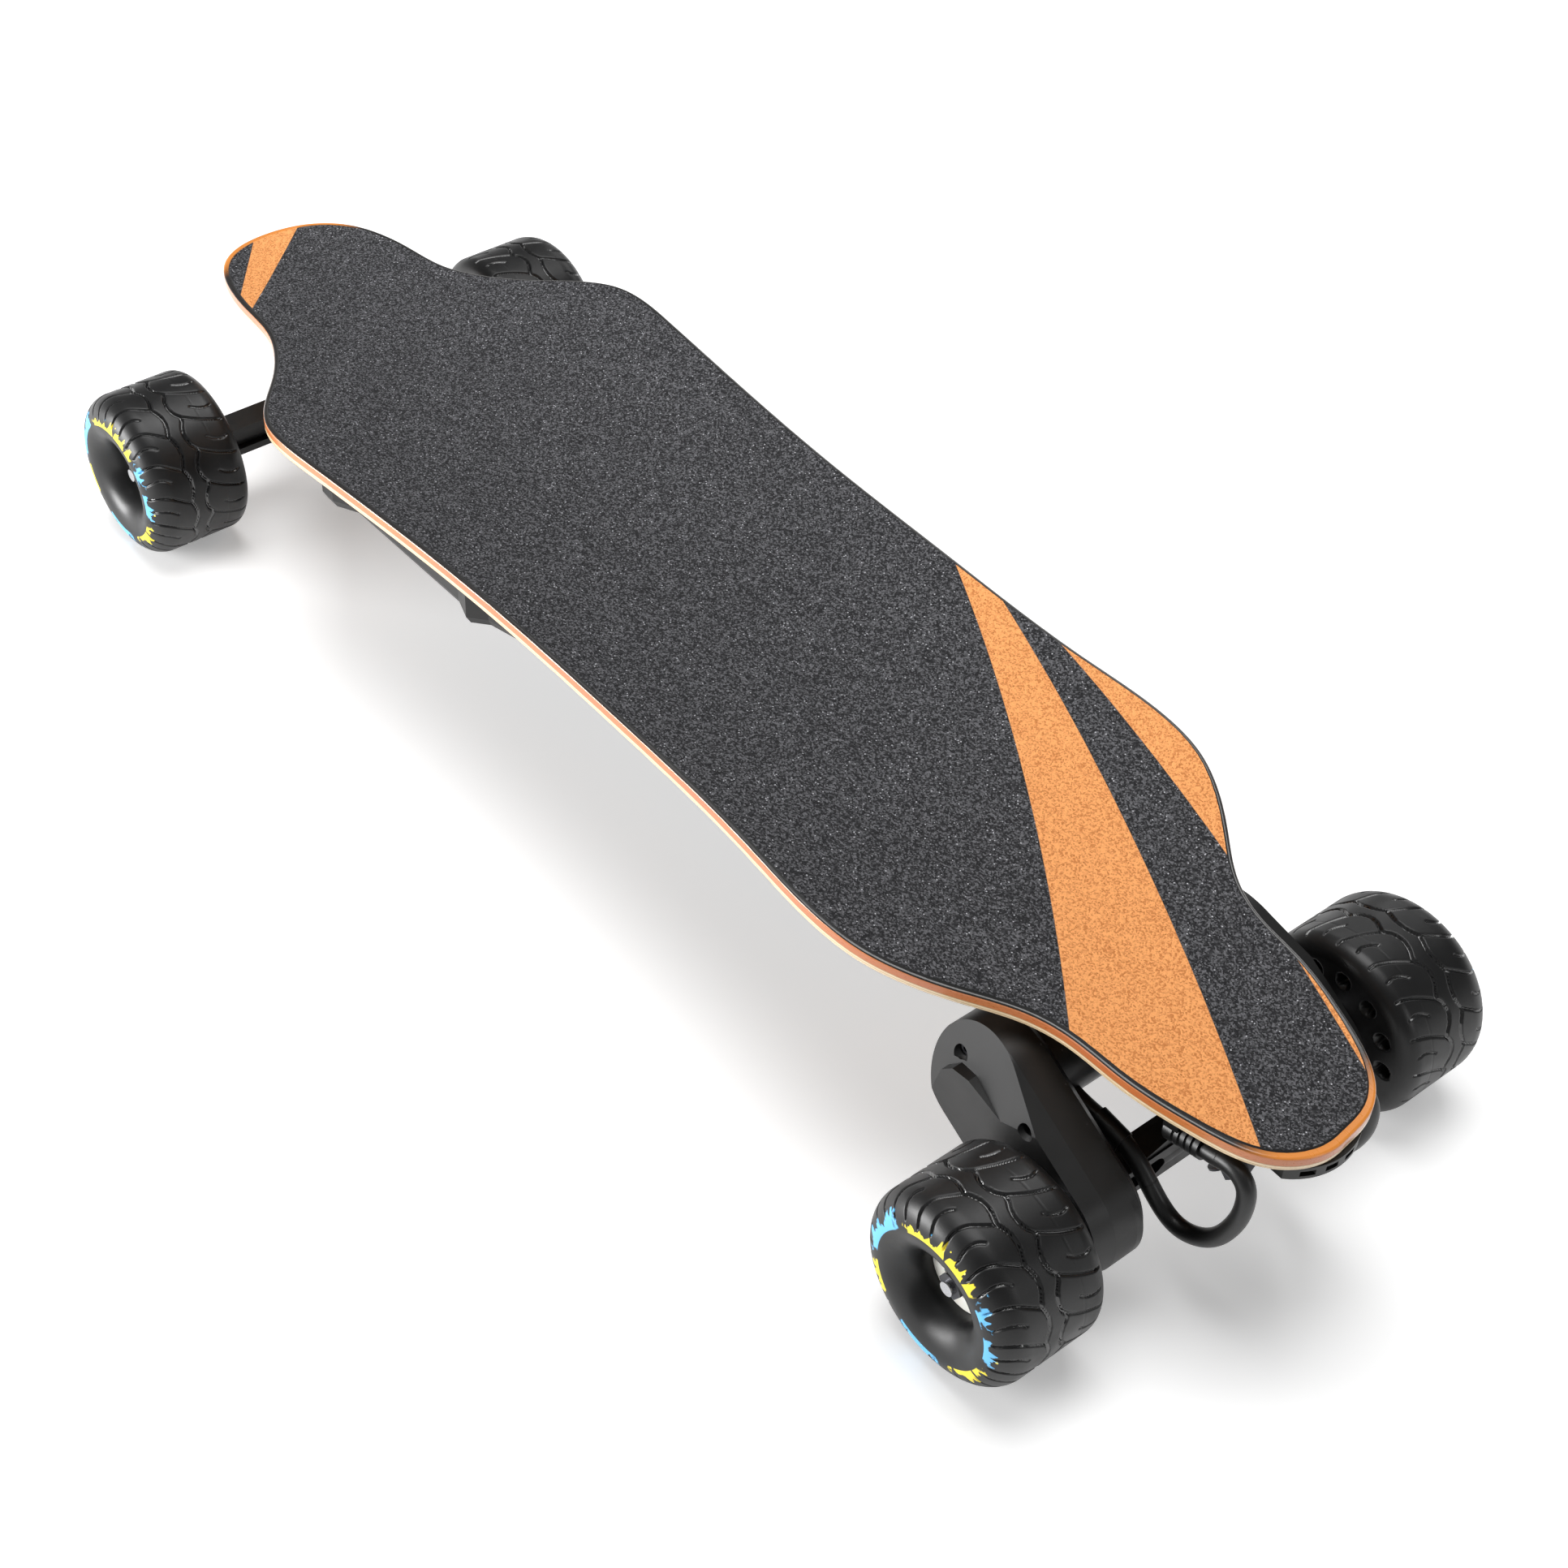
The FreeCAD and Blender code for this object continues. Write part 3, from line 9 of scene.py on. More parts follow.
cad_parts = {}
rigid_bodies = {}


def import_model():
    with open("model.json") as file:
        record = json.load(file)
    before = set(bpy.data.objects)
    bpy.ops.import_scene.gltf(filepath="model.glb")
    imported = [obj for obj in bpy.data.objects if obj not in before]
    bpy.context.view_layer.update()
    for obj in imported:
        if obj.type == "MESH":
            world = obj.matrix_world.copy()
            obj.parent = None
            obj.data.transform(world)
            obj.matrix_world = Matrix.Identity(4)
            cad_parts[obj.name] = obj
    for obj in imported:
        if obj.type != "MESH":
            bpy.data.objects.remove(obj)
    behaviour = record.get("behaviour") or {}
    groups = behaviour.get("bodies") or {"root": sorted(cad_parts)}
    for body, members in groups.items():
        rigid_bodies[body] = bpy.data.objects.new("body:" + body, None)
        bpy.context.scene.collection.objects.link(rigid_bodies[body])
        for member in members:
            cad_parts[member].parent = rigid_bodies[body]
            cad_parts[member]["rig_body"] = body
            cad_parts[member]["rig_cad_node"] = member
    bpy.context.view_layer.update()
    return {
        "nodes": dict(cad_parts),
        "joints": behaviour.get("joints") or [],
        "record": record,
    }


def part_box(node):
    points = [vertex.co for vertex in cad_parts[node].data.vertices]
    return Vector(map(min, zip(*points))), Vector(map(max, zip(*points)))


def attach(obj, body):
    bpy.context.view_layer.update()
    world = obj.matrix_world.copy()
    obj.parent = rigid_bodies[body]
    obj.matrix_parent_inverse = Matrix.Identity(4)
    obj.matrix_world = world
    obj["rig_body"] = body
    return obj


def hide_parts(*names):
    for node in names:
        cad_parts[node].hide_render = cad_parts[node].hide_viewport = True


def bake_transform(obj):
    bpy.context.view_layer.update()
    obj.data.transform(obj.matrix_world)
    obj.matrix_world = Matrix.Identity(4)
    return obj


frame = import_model()

MM = 0.001
ENDS = ("front", "rear")
SIDES = ("left", "right")
NODES = frame["nodes"]
SLOT_OF = {p["node"]: p["material_slot"] for p in frame["record"]["subparts"]}


# ------------------------------------------------------------------ material writing


class Finish:
    """A node material in the making. Each method adds a node and returns the socket to use next."""

    def __init__(self, name, roughness=0.5, metallic=0.0):
        self.material = bpy.data.materials.new(name)
        self.material.use_nodes = True
        self.tree = self.material.node_tree
        self.surface = self.tree.nodes["Principled BSDF"]
        self.place = self.add("TexCoord").outputs["Object"]
        self.set("Roughness", roughness)
        self.set("Metallic", metallic)

    def add(self, kind, **settings):
        node = self.tree.nodes.new("ShaderNode" + kind)
        for key, value in settings.items():
            setattr(node, key, value)
        return node

    def feed(self, socket, value):
        if isinstance(value, bpy.types.NodeSocket):
            self.tree.links.new(value, socket)
        elif isinstance(value, tuple) and len(value) == 3 and socket.type == "RGBA":
            socket.default_value = (*value, 1)
        else:
            socket.default_value = value

    def set(self, name, value):
        self.feed(self.surface.inputs[name], value)
        return self

    def math(self, operation, *values):
        node = self.add("Math", operation=operation)
        for socket, value in zip(node.inputs, values):
            self.feed(socket, value)
        return node.outputs[0]

    def mix(self, share, low, high):
        node = self.add("Mix", data_type="RGBA")
        self.feed(node.inputs["Factor"], share)
        colours = [socket for socket in node.inputs if socket.type == "RGBA"]
        self.feed(colours[0], low)
        self.feed(colours[1], high)
        return [socket for socket in node.outputs if socket.type == "RGBA"][0]

    def ramp(self, value, low, high, to_low=0.0, to_high=1.0):
        """Smooth step of value from low to high."""
        node = self.add("MapRange", interpolation_type="SMOOTHSTEP")
        for socket, number in zip(node.inputs, (value, low, high, to_low, to_high)):
            self.feed(socket, number)
        return node.outputs[0]

    def noise(self, grain, detail=2.0, at=None, roughness=0.5):
        """Noise whose blotches are about grain mm across."""
        node = self.add("TexNoise")
        self.feed(node.inputs["Vector"], at or self.place)
        node.inputs["Scale"].default_value = 1 / (grain * MM)
        node.inputs["Detail"].default_value = detail
        node.inputs["Roughness"].default_value = roughness
        return node.outputs["Fac"]

    def cells(self, grain, at=None):
        """(distance to the cell's centre, a random number per cell) for cells grain mm across."""
        node = self.add("TexVoronoi")
        self.feed(node.inputs["Vector"], at or self.place)
        node.inputs["Scale"].default_value = 1 / (grain * MM)
        return node.outputs["Distance"], self.split(node.outputs["Color"])[0]

    def split(self, vector):
        node = self.add("SeparateXYZ")
        self.feed(node.inputs[0], vector)
        return node.outputs[0], node.outputs[1], node.outputs[2]

    def join(self, x, y, z):
        node = self.add("CombineXYZ")
        for socket, value in zip(node.inputs, (x, y, z)):
            self.feed(socket, value)
        return node.outputs[0]

    def length(self, x, y):
        """How far the point (x, y) is from the origin."""
        squares = [self.math("POWER", self.math("ABSOLUTE", side), 2.0) for side in (x, y)]
        return self.math("SQRT", self.math("ADD", *squares))

    def stretched(self, x, y, z):
        """The object's coordinates with each axis scaled: a small number draws a pattern out."""
        node = self.add("Mapping")
        self.feed(node.inputs["Vector"], self.place)
        node.inputs["Scale"].default_value = (x, y, z)
        return node.outputs[0]

    def bump(self, height, depth):
        """Bump of depth mm."""
        node = self.add("Bump")
        node.inputs["Distance"].default_value = depth * MM
        self.feed(node.inputs["Height"], height)
        self.set("Normal", node.outputs[0])


def moulded(name, tone, roughness, grain=0.6, depth=0.03, coat=0.0):
    """Satin moulded plastic or rubber: fine texture, slow roughness drift and slightly uneven tone."""
    f = Finish(name, roughness)
    f.set("Base Color", f.mix(f.noise(18, 3), (tone * 0.8,) * 3, (tone * 1.25,) * 3))
    drift = f.noise(30, 3)
    f.set("Roughness", f.ramp(drift, 0.25, 0.75, roughness - 0.05, roughness + 0.07))
    f.set("Coat Weight", coat)
    f.bump(f.noise(grain, 3), depth)
    return f.material


def coated_metal(name, tone, roughness, grain=0.9):
    """Black powder coat: orange-peel bump, small bare nicks."""
    f = Finish(name, roughness)
    nick = f.ramp(f.noise(2.2, 4), 0.73, 0.76)
    tones = f.mix(f.noise(22, 2), (tone * 0.75,) * 3, (tone * 1.3,) * 3)
    f.set("Base Color", f.mix(nick, tones, (0.06, 0.06, 0.063)))
    f.set("Roughness", f.ramp(f.noise(9, 3), 0.3, 0.7, roughness - 0.06, roughness + 0.08))
    f.bump(f.noise(grain, 2), 0.05)
    return f.material


def bare_metal(name, colour, roughness, streak=(1, 1, 1)):
    """Metal with fine machining lines along the axis that streak leaves short."""
    f = Finish(name, roughness, metallic=1.0)
    lines = f.noise(0.5, 3, f.stretched(*streak))
    dark = tuple(c * 0.72 for c in colour)
    f.set("Base Color", f.mix(lines, dark, colour))
    f.set("Roughness", f.ramp(lines, 0.2, 0.8, roughness - 0.07, roughness + 0.12))
    f.bump(lines, 0.02)
    return f.material


# ------------------------------------------------------------------ the deck's own shape

DECK_MID = 140.5  # height in mm of the wooden top in the middle
TAIL_DROP, NOSE_DROP, NOSE_POWER = 12.6, 18.3, 2.4  # how far each end hangs below the middle
CAMBER_SPAN = 438.0  # mm from the middle to where those drops are measured
KICK, KICK_START, KICK_LONG, KICK_POWER = 5.0, 340.0, 130.0, 1.5  # the nose turns up again
DECK_BOW = 0.00092  # the sides stand this times the square of y above the middle
GRIP_THICK, SHADOW_REACH = 0.8, 0.9  # mm; the second is how far the painted shadow at the grip's edge reaches out over the wood
GRIP_SHADE_START, GRIP_SHADE_END, GRIP_SHADE_DEEP = 440.0, 462.0, 0.85  # painted shadow: along the sides the deck's upper edge is painted black, as the shade beside the grip's edge
# Plies as (depth in mm below the top where each starts, name of its tone).
PLIES = [(5.2, "seam"), (5.6, "pale"), (6.9, "seam"), (7.15, "pale"), (8.3, "under")]


def depth_below_top(f):
    """Node maths for how far, in mm, a point lies below the deck's curved wooden top."""
    x, y, z = (f.math("DIVIDE", axis, MM) for axis in f.split(f.place))
    run = f.math("DIVIDE", f.math("ABSOLUTE", x), CAMBER_SPAN)
    ahead = f.math("GREATER_THAN", x, 0.0)
    tail = f.math("MULTIPLY", f.math("POWER", run, 2.0), TAIL_DROP)
    nose = f.math("MULTIPLY", f.math("POWER", run, NOSE_POWER), NOSE_DROP)
    past = f.math("DIVIDE", f.math("MAXIMUM", f.math("SUBTRACT", x, KICK_START), 0.0), KICK_LONG)
    lift = f.math("MULTIPLY", f.math("POWER", past, KICK_POWER), KICK)
    drop = f.math("ADD", tail, f.math("MULTIPLY", ahead, f.math("SUBTRACT", nose, tail)))
    bow = f.math("MULTIPLY", f.math("POWER", f.math("ABSOLUTE", y), 2.0), DECK_BOW)
    rise = f.math("SUBTRACT", f.math("ADD", lift, bow), drop)
    return f.math("SUBTRACT", f.math("ADD", rise, DECK_MID), z)


def maple_finish():
    """Lacquered plies: a stained upper stack, pale plies with a darker seam, and a brown bottom face;
    painted shadow in black beside the grip along the sides.
    """
    f = Finish("maple_plies", 0.3)
    depth = depth_below_top(f)
    wobble = f.math("MULTIPLY", f.math("SUBTRACT", f.noise(60, 2), 0.5), 0.5)
    depth = f.math("ADD", depth, wobble)
    fibre = f.noise(1.1, 5, f.stretched(0.05, 1, 1.6), 0.65)
    cloud = f.noise(26, 3, f.stretched(0.4, 1, 1))
    stain = f.mix(fibre, (0.36, 0.105, 0.024), (0.62, 0.215, 0.060))
    stain = f.mix(f.ramp(cloud, 0.35, 0.7), stain, (0.46, 0.135, 0.042))
    # Painted light: the top face and upper rounded edge get a brighter orange than the stained sides, as
    # if lit from above.
    painted_lit_top = f.ramp(depth, 0.2, 1.3)
    stain = f.mix(painted_lit_top, (0.80, 0.27, 0.035), stain)
    tones = {
        "pale": f.mix(fibre, (0.62, 0.44, 0.25), (0.84, 0.69, 0.47)),
        "seam": f.mix(fibre, (0.27, 0.16, 0.07), (0.42, 0.27, 0.13)),
        "under": f.mix(fibre, (0.23, 0.115, 0.045), (0.40, 0.215, 0.095)),
    }
    x = f.math("ABSOLUTE", f.math("DIVIDE", f.split(f.place)[0], MM))
    shallow = f.ramp(depth, GRIP_SHADE_DEEP - 0.1, GRIP_SHADE_DEEP + 0.1, 1.0, 0.0)
    # Painted shadow: the wood's top strip and upper rounded edge beside the grip are painted black along
    # the sides.
    painted_grip_shade = f.math("MULTIPLY", shallow, f.ramp(x, GRIP_SHADE_START, GRIP_SHADE_END, 1.0, 0.0))
    colour = f.mix(painted_grip_shade, stain, (0.012, 0.010, 0.009))
    for start, tone in PLIES:
        colour = f.mix(f.ramp(depth, start - 0.1, start + 0.1), colour, tones[tone])
    f.set("Base Color", colour)
    f.set("Roughness", f.ramp(fibre, 0.2, 0.8, 0.24, 0.38))
    f.set("Coat Weight", 0.5)
    f.set("Coat Roughness", 0.12)
    f.bump(fibre, 0.06)
    return f.material


# Edges of the orange areas on the grip, as (start, end, bulge) in mm in the deck's plan. The
# orange side is to the left of the way from start to end; bulge bends the line that way.
STRIPE_FRONT = ((-75.5, -111.4), (-348.6, 60.0), 9.9)
STRIPE_BACK = ((-113.4, -111.8), (-447.2, 33.9), 10.1)
CORNER_EDGE = ((-156.8, -113.4), (-449.8, -37.1), 6.9)
NOSE_AHEAD = ((411.8, 58.5), (478.3, 9.2), 0.0)
NOSE_BEHIND = ((395.7, 59.3), (475.0, -22.8), 0.0)


def beside(f, x, y, line):
    """1 to the left of a slightly bowed line in plan, 0 to its right, with a crisp edge."""
    (ax, ay), (bx, by), bulge = line
    long = math.hypot(bx - ax, by - ay)
    ux, uy = (bx - ax) / long, (by - ay) / long
    rx, ry = f.math("SUBTRACT", x, ax), f.math("SUBTRACT", y, ay)
    along = f.math("ADD", f.math("MULTIPLY", rx, ux), f.math("MULTIPLY", ry, uy))
    across = f.math("SUBTRACT", f.math("MULTIPLY", ry, ux), f.math("MULTIPLY", rx, uy))
    share = f.math("DIVIDE", along, long)
    bow = f.math("MULTIPLY", f.math("MULTIPLY", share, f.math("SUBTRACT", 1.0, share)), 4 * bulge)
    return f.ramp(f.math("SUBTRACT", across, bow), -0.25, 0.25)


def orange_areas(f):
    """1 where the grip is orange: a wide stripe and a corner at the tail, a narrow stripe at the nose."""
    x, y, _ = (f.math("DIVIDE", axis, MM) for axis in f.split(f.place))
    past_back = f.math("SUBTRACT", 1.0, beside(f, x, y, STRIPE_BACK))
    stripe = f.math("MULTIPLY", beside(f, x, y, STRIPE_FRONT), past_back)
    corner = beside(f, x, y, CORNER_EDGE)
    short_of_tip = f.math("SUBTRACT", 1.0, beside(f, x, y, NOSE_AHEAD))
    nose = f.math("MULTIPLY", beside(f, x, y, NOSE_BEHIND), short_of_tip)
    return f.math("MAXIMUM", f.math("MAXIMUM", stripe, corner), nose)


def grip_finish():
    """Charcoal grit with bright grains, and orange grit with dark flecks."""
    f = Finish("grip_grit", 0.82)
    orange_share = orange_areas(f)
    coarse = f.noise(1.6, 3)
    near, chance = f.cells(0.85)
    sharp = f.math("MULTIPLY", f.math("POWER", chance, 2.2), 0.8)
    grain = f.math("ADD", sharp, f.math("MULTIPLY", coarse, 0.3))
    charcoal = f.mix(f.ramp(grain, 0.08, 0.95), (0.012, 0.012, 0.0135), (0.135, 0.135, 0.145))
    orange = f.mix(f.ramp(grain, 0.1, 0.85), (0.93, 0.405, 0.142), (0.60, 0.205, 0.05))

    spot_near, spot_chance = f.cells(1.5)
    glint = f.math("MULTIPLY", f.ramp(spot_chance, 0.90, 0.93), f.ramp(spot_near, 0.16, 0.34, 1.0, 0.0))
    charcoal = f.mix(glint, charcoal, (0.62, 0.62, 0.66))
    rare = f.ramp(spot_chance, 0.0, 0.08, 1.0, 0.0)
    fleck = f.math("MULTIPLY", rare, f.ramp(spot_near, 0.2, 0.42, 1.0, 0.0))
    orange = f.mix(fleck, orange, (0.42, 0.13, 0.025))

    f.set("Base Color", f.mix(orange_share, charcoal, orange))
    f.set("Roughness", f.ramp(chance, 0.2, 0.9, 0.9, 0.6))
    f.set("Specular IOR Level", 0.25)
    f.bump(f.math("SUBTRACT", grain, near), 0.22)
    return f.material


# Paint splashes as (from angle, to angle, usual width in mm outside the bowl's edge).
YELLOW_SPLASHES = [(58, 130, 4.2), (200, 238, 3.6), (316, 344, 5.4)]
BLUE_SPLASHES = [(-4, 44, 6.0), (136, 152, 6.0), (163, 186, 5.0), (258, 294, 5.6)]
YELLOW_PAINT, BLUE_PAINT = (0.84, 0.68, 0.03), (0.12, 0.46, 0.80)
DRIP_LONG = 26.0  # mm by which the splashes' outer edge wanders
DROPS_OUT_TO = 47.0
PAINT_BACK = 11.5  # mm behind the outer face where the paint stops


def splash_share(f, splashes, ragged_turn, ragged_radius):
    """1 inside any of the splashes, given the angle and radius already made ragged."""
    share = 0.0
    for start, stop, wide in splashes:
        middle, half = math.radians((start + stop) / 2), math.radians((stop - start) / 2)
        facing = f.math("COSINE", f.math("SUBTRACT", ragged_turn, middle))
        within = f.ramp(facing, math.cos(half + 0.03), math.cos(half - 0.03))
        edge = BOWL_RAD + wide
        splash = f.math("MULTIPLY", within, f.ramp(ragged_radius, edge - 0.3, edge + 0.3, 1.0, 0.0))
        share = f.math("MAXIMUM", share, splash)
    return share


def painted_wall(f, outer_face):
    """Colour of the urethane with its paint: drips round the bowl's edge and small drops beyond."""
    x, out, z = (f.math("DIVIDE", axis, MM) for axis in f.split(f.place))
    radius = f.length(x, z)
    turn = f.math("ARCTAN2", z, x)
    round_wall = f.math("MULTIPLY", turn, 38 * MM)
    streaks = f.noise(4.2, 2, f.join(round_wall, f.math("MULTIPLY", radius, 0.22 * MM), 0.0))
    wander = f.math("MULTIPLY", f.math("SUBTRACT", f.noise(5.0, 2), 0.5), 0.45)
    ragged_turn = f.math("ADD", turn, wander)
    drip = f.math("MULTIPLY", f.math("SUBTRACT", streaks, 0.5), DRIP_LONG)
    ragged_radius = f.math("SUBTRACT", radius, drip)

    wall_start = outer_face - PAINT_BACK
    facing_out = f.ramp(out, wall_start - 0.5, wall_start + 0.5)
    on_wall = f.math("MULTIPLY", f.ramp(radius, BOWL_RAD + 0.1, BOWL_RAD + 0.5), facing_out)
    yellow, blue = (
        f.math("MULTIPLY", splash_share(f, splashes, ragged_turn, ragged_radius), on_wall)
        for splashes in (YELLOW_SPLASHES, BLUE_SPLASHES)
    )
    far, odds = f.cells(3.4)
    drops = f.math("MULTIPLY", f.ramp(odds, 0.86, 0.87), f.ramp(far, 0.2, 0.26, 1.0, 0.0))
    near_bowl = f.ramp(radius, DROPS_OUT_TO - 0.5, DROPS_OUT_TO + 0.5, 1.0, 0.0)
    drops = f.math("MULTIPLY", f.math("MULTIPLY", drops, on_wall), near_bowl)

    colour = f.mix(f.noise(16, 3), (0.0035, 0.0035, 0.0037), (0.0065, 0.0065, 0.0068))
    colour = f.mix(drops, colour, f.mix(f.ramp(odds, 0.93, 0.94), BLUE_PAINT, YELLOW_PAINT))
    colour = f.mix(blue, colour, BLUE_PAINT)
    return f.mix(yellow, colour, YELLOW_PAINT)


def tyre_finish(outer_face):
    """Satin black urethane, glossy in the grooves, with splashes of paint on the outer sidewall."""
    f = Finish("urethane_tread", 0.42)
    f.set("Base Color", painted_wall(f, outer_face))
    in_groove = f.ramp(f.add("Attribute", attribute_name="sunk").outputs["Fac"], 0.15, 0.8)
    satin = f.ramp(f.noise(24, 3), 0.3, 0.7, 0.34, 0.48)
    f.set("Roughness", f.math("SUBTRACT", satin, f.math("MULTIPLY", in_groove, 0.26)))
    f.set("Specular IOR Level", f.math("ADD", 0.42, f.math("MULTIPLY", in_groove, 0.5)))
    f.bump(f.noise(0.7, 2), 0.02)
    return f.material


def pale_core_finish():
    """Cream glass-filled plastic, slightly cloudy."""
    f = Finish("pale_core", 0.45)
    f.set("Base Color", f.mix(f.noise(6, 4), (0.66, 0.63, 0.56), (0.86, 0.84, 0.79)))
    f.set("Roughness", f.ramp(f.noise(3, 3), 0.3, 0.7, 0.36, 0.55))
    f.set("Subsurface Weight", 0.05)
    f.bump(f.noise(0.8, 3), 0.04)
    return f.material


def bushing_finish():
    """Amber urethane."""
    f = Finish("bushing_urethane", 0.35)
    f.set("Base Color", f.mix(f.noise(5, 3), (0.60, 0.16, 0.02), (0.85, 0.30, 0.05)))
    f.set("Roughness", f.ramp(f.noise(2, 3), 0.3, 0.7, 0.28, 0.45))
    f.set("Subsurface Weight", 0.2)
    f.set("Subsurface Radius", (0.004, 0.002, 0.001))
    f.bump(f.noise(1.2, 2), 0.05)
    return f.material


def winding_finish():
    """Copper turns side by side."""
    f = Finish("winding_copper", 0.3, 0.9)
    wires = f.noise(0.35, 1, f.stretched(1, 0.08, 1))
    f.set("Base Color", f.mix(wires, (0.30, 0.09, 0.03), (0.80, 0.36, 0.16)))
    f.set("Coat Weight", 0.6)
    f.bump(wires, 0.2)
    return f.material


def cell_wrap_finish():
    """Blue shrink film: glossy, with faint wrinkles."""
    f = Finish("cell_wrap", 0.25)
    f.set("Base Color", f.mix(f.noise(9, 3), (0.03, 0.10, 0.28), (0.06, 0.18, 0.42)))
    f.set("Roughness", f.ramp(f.noise(12, 3), 0.3, 0.7, 0.18, 0.34))
    f.bump(f.noise(3.5, 4, f.stretched(0.4, 1, 1)), 0.25)
    return f.material


def circuit_finish():
    """Green lacquer with lighter traces and tin pads."""
    f = Finish("circuit_green", 0.3)
    _, chance = f.cells(2.4, f.stretched(1, 0.35, 1))
    trace = f.ramp(chance, 0.55, 0.58)
    pad = f.ramp(f.cells(3.1)[1], 0.93, 0.94)
    board = f.mix(trace, (0.012, 0.085, 0.035), (0.03, 0.17, 0.07))
    f.set("Base Color", f.mix(pad, board, (0.55, 0.56, 0.56)))
    f.set("Metallic", pad)
    f.set("Coat Weight", 0.5)
    f.bump(trace, 0.05)
    return f.material


def make_finishes():
    """One node material for each of the record's material slots."""
    return {
        "maple": maple_finish(),
        "grip": grip_finish(),
        "urethane": tyre_finish(WHEEL_WIDE),
        "hub_plastic": pale_core_finish(),
        "bearing_steel": bare_metal("bearing_steel", (0.62, 0.62, 0.64), 0.28, (1, 0.1, 1)),
        "dark_fasteners": bare_metal("dark_fasteners", (0.10, 0.10, 0.11), 0.36),
        "insert_brass": bare_metal("insert_brass", (0.72, 0.52, 0.22), 0.3),
        "truck_black": coated_metal("truck_black", 0.0055, 0.38),
        "motor_black": coated_metal("motor_black", 0.008, 0.34, 0.5),
        "rotor_steel": bare_metal("rotor_steel", (0.34, 0.34, 0.36), 0.32, (1, 0.1, 1)),
        "winding": winding_finish(),
        "pulley_metal": bare_metal("pulley_metal", (0.52, 0.52, 0.54), 0.3, (1, 0.1, 1)),
        "belt_rubber": moulded("belt_rubber", 0.008, 0.65, 0.5, 0.1),
        "cover_black": moulded("cover_black", 0.0055, 0.42, 0.45, 0.012),
        "cable_rubber": moulded("cable_rubber", 0.0045, 0.4, 0.8, 0.03),
        "case_black": moulded("case_black", 0.007, 0.48, 0.45, 0.03),
        "seal_rubber": moulded("seal_rubber", 0.006, 0.7, 0.7, 0.08),
        "bushing_urethane": bushing_finish(),
        "button_black": moulded("button_black", 0.012, 0.24, 1.5, 0.01, 0.4),
        "cell_wrap": cell_wrap_finish(),
        "circuit_green": circuit_finish(),
    }


# ------------------------------------------------------------------ tyres with tread

TYRE_LOW, TYRE_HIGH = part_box("tyre_rear_left")
TYRE_RAD = (TYRE_HIGH.z - TYRE_LOW.z) / 2 / MM
WHEEL_WIDE = (TYRE_HIGH.y - TYRE_LOW.y) / MM
INNER_SHOULDER, OUTER_SHOULDER = 10.0, 16.0
BOWL_RAD = 36.8  # of the bowl's mouth in the outer face
HUB_RAD = 19.0  # of the core seen at the bottom of the bowl
HUB_FACE = 47.6  # mm from the inner face to the core
CORE_RAD = 17.0  # of the urethane's own bore
PITCHES = 15  # repeats of the tread round the wheel
PITCH = 360 / PITCHES
TREAD_PHASE = 8.0  # degrees, so that a wheel at rest stands as it was last left
TURN_STEPS = 600

# One pitch of the tread as (degrees round the wheel, mm from the inner face).
OUTER_BORDER = [(0, 41.9), (3.6, 40.5), (9.5, 39.3), (15.8, 39.9), (20.5, 41.4), (PITCH, 41.9)]
OUTER_BRANCH = [(0, 41.9), (-4.2, 47.5), (-8.7, 53.8), (-10.9, 59.5), (-10.8, 63.0), (-9.8, 65.3)]
OUTER_SIPE = [(3.9, 52.2), (1.5, 55.3), (0.3, 58.8), (0.6, 62.3), (2.1, 65.0)]
INNER_START = 12.4  # degrees by which the inner half's pattern is turned
INNER_BORDER = [(0, 28.8), (3.5, 29.3), (8.0, 31.5), (14.0, 32.5), (20.0, 31.4), (PITCH, 28.8)]
INNER_BRANCH = [(0, 28.8), (4.3, 22.5), (7.9, 16.0), (10.6, 9.0), (11.2, 5.5)]
INNER_SIPE = [(-4.9, 19.7), (-1.8, 15.6), (-0.4, 11.4), (-1.0, 7.5)]
# Width and depth in mm of the three kinds of groove, then each groove with its starting angle.
MAIN, BRANCH, SIPE = (1.7, 1.9), (1.2, 1.5), (1.0, 1.2)
GROOVES = [
    (OUTER_BORDER, 0, MAIN),
    (OUTER_BRANCH, 0, BRANCH),
    (OUTER_SIPE, 0, SIPE),
    (INNER_BORDER, INNER_START, MAIN),
    (INNER_BRANCH, INNER_START, BRANCH),
    (INNER_SIPE, INNER_START, SIPE),
]
PARTING_AT = 17.4  # the mould's parting line, in mm from the inner face
LIGHTENING_HOLES, HOLE_RING, HOLE_RAD, HOLE_DEEP = 12, 35.5, 4.7, 8.0


def smooth_line(points, steps=6):
    """Catmull-Rom curve through the points."""
    p = np.array(points, float)
    p = np.vstack([2 * p[0] - p[1], p, 2 * p[-1] - p[-2]])
    t = np.linspace(0, 1, steps, endpoint=False)[:, None]
    out = []
    for a, b, c, d in zip(p, p[1:], p[2:], p[3:]):
        square, cube = 2 * a - 5 * b + 4 * c - d, 3 * b - a - 3 * c + d
        out.append(0.5 * (2 * b + (c - a) * t + square * t**2 + cube * t**3))
    return np.vstack(out + [p[-2:-1]])


def line_distance(across, along, line):
    """Distance in mm from each grid point to a polyline given in the same plan."""
    best = np.full(across.shape, 1e9)
    for (ax, ay), (bx, by) in zip(line, line[1:]):
        ux, uy = bx - ax, by - ay
        share = np.clip(((across - ax) * ux + (along - ay) * uy) / (ux * ux + uy * uy + 1e-9), 0, 1)
        best = np.minimum(best, np.hypot(across - ax - share * ux, along - ay - share * uy))
    return best


def groove(distance, width, depth, soft=0.55):
    """Channel with sloping walls."""
    wall = np.clip((width / 2 + soft / 2 - distance) / soft, 0, 1)
    return depth * wall * wall * (3 - 2 * wall)


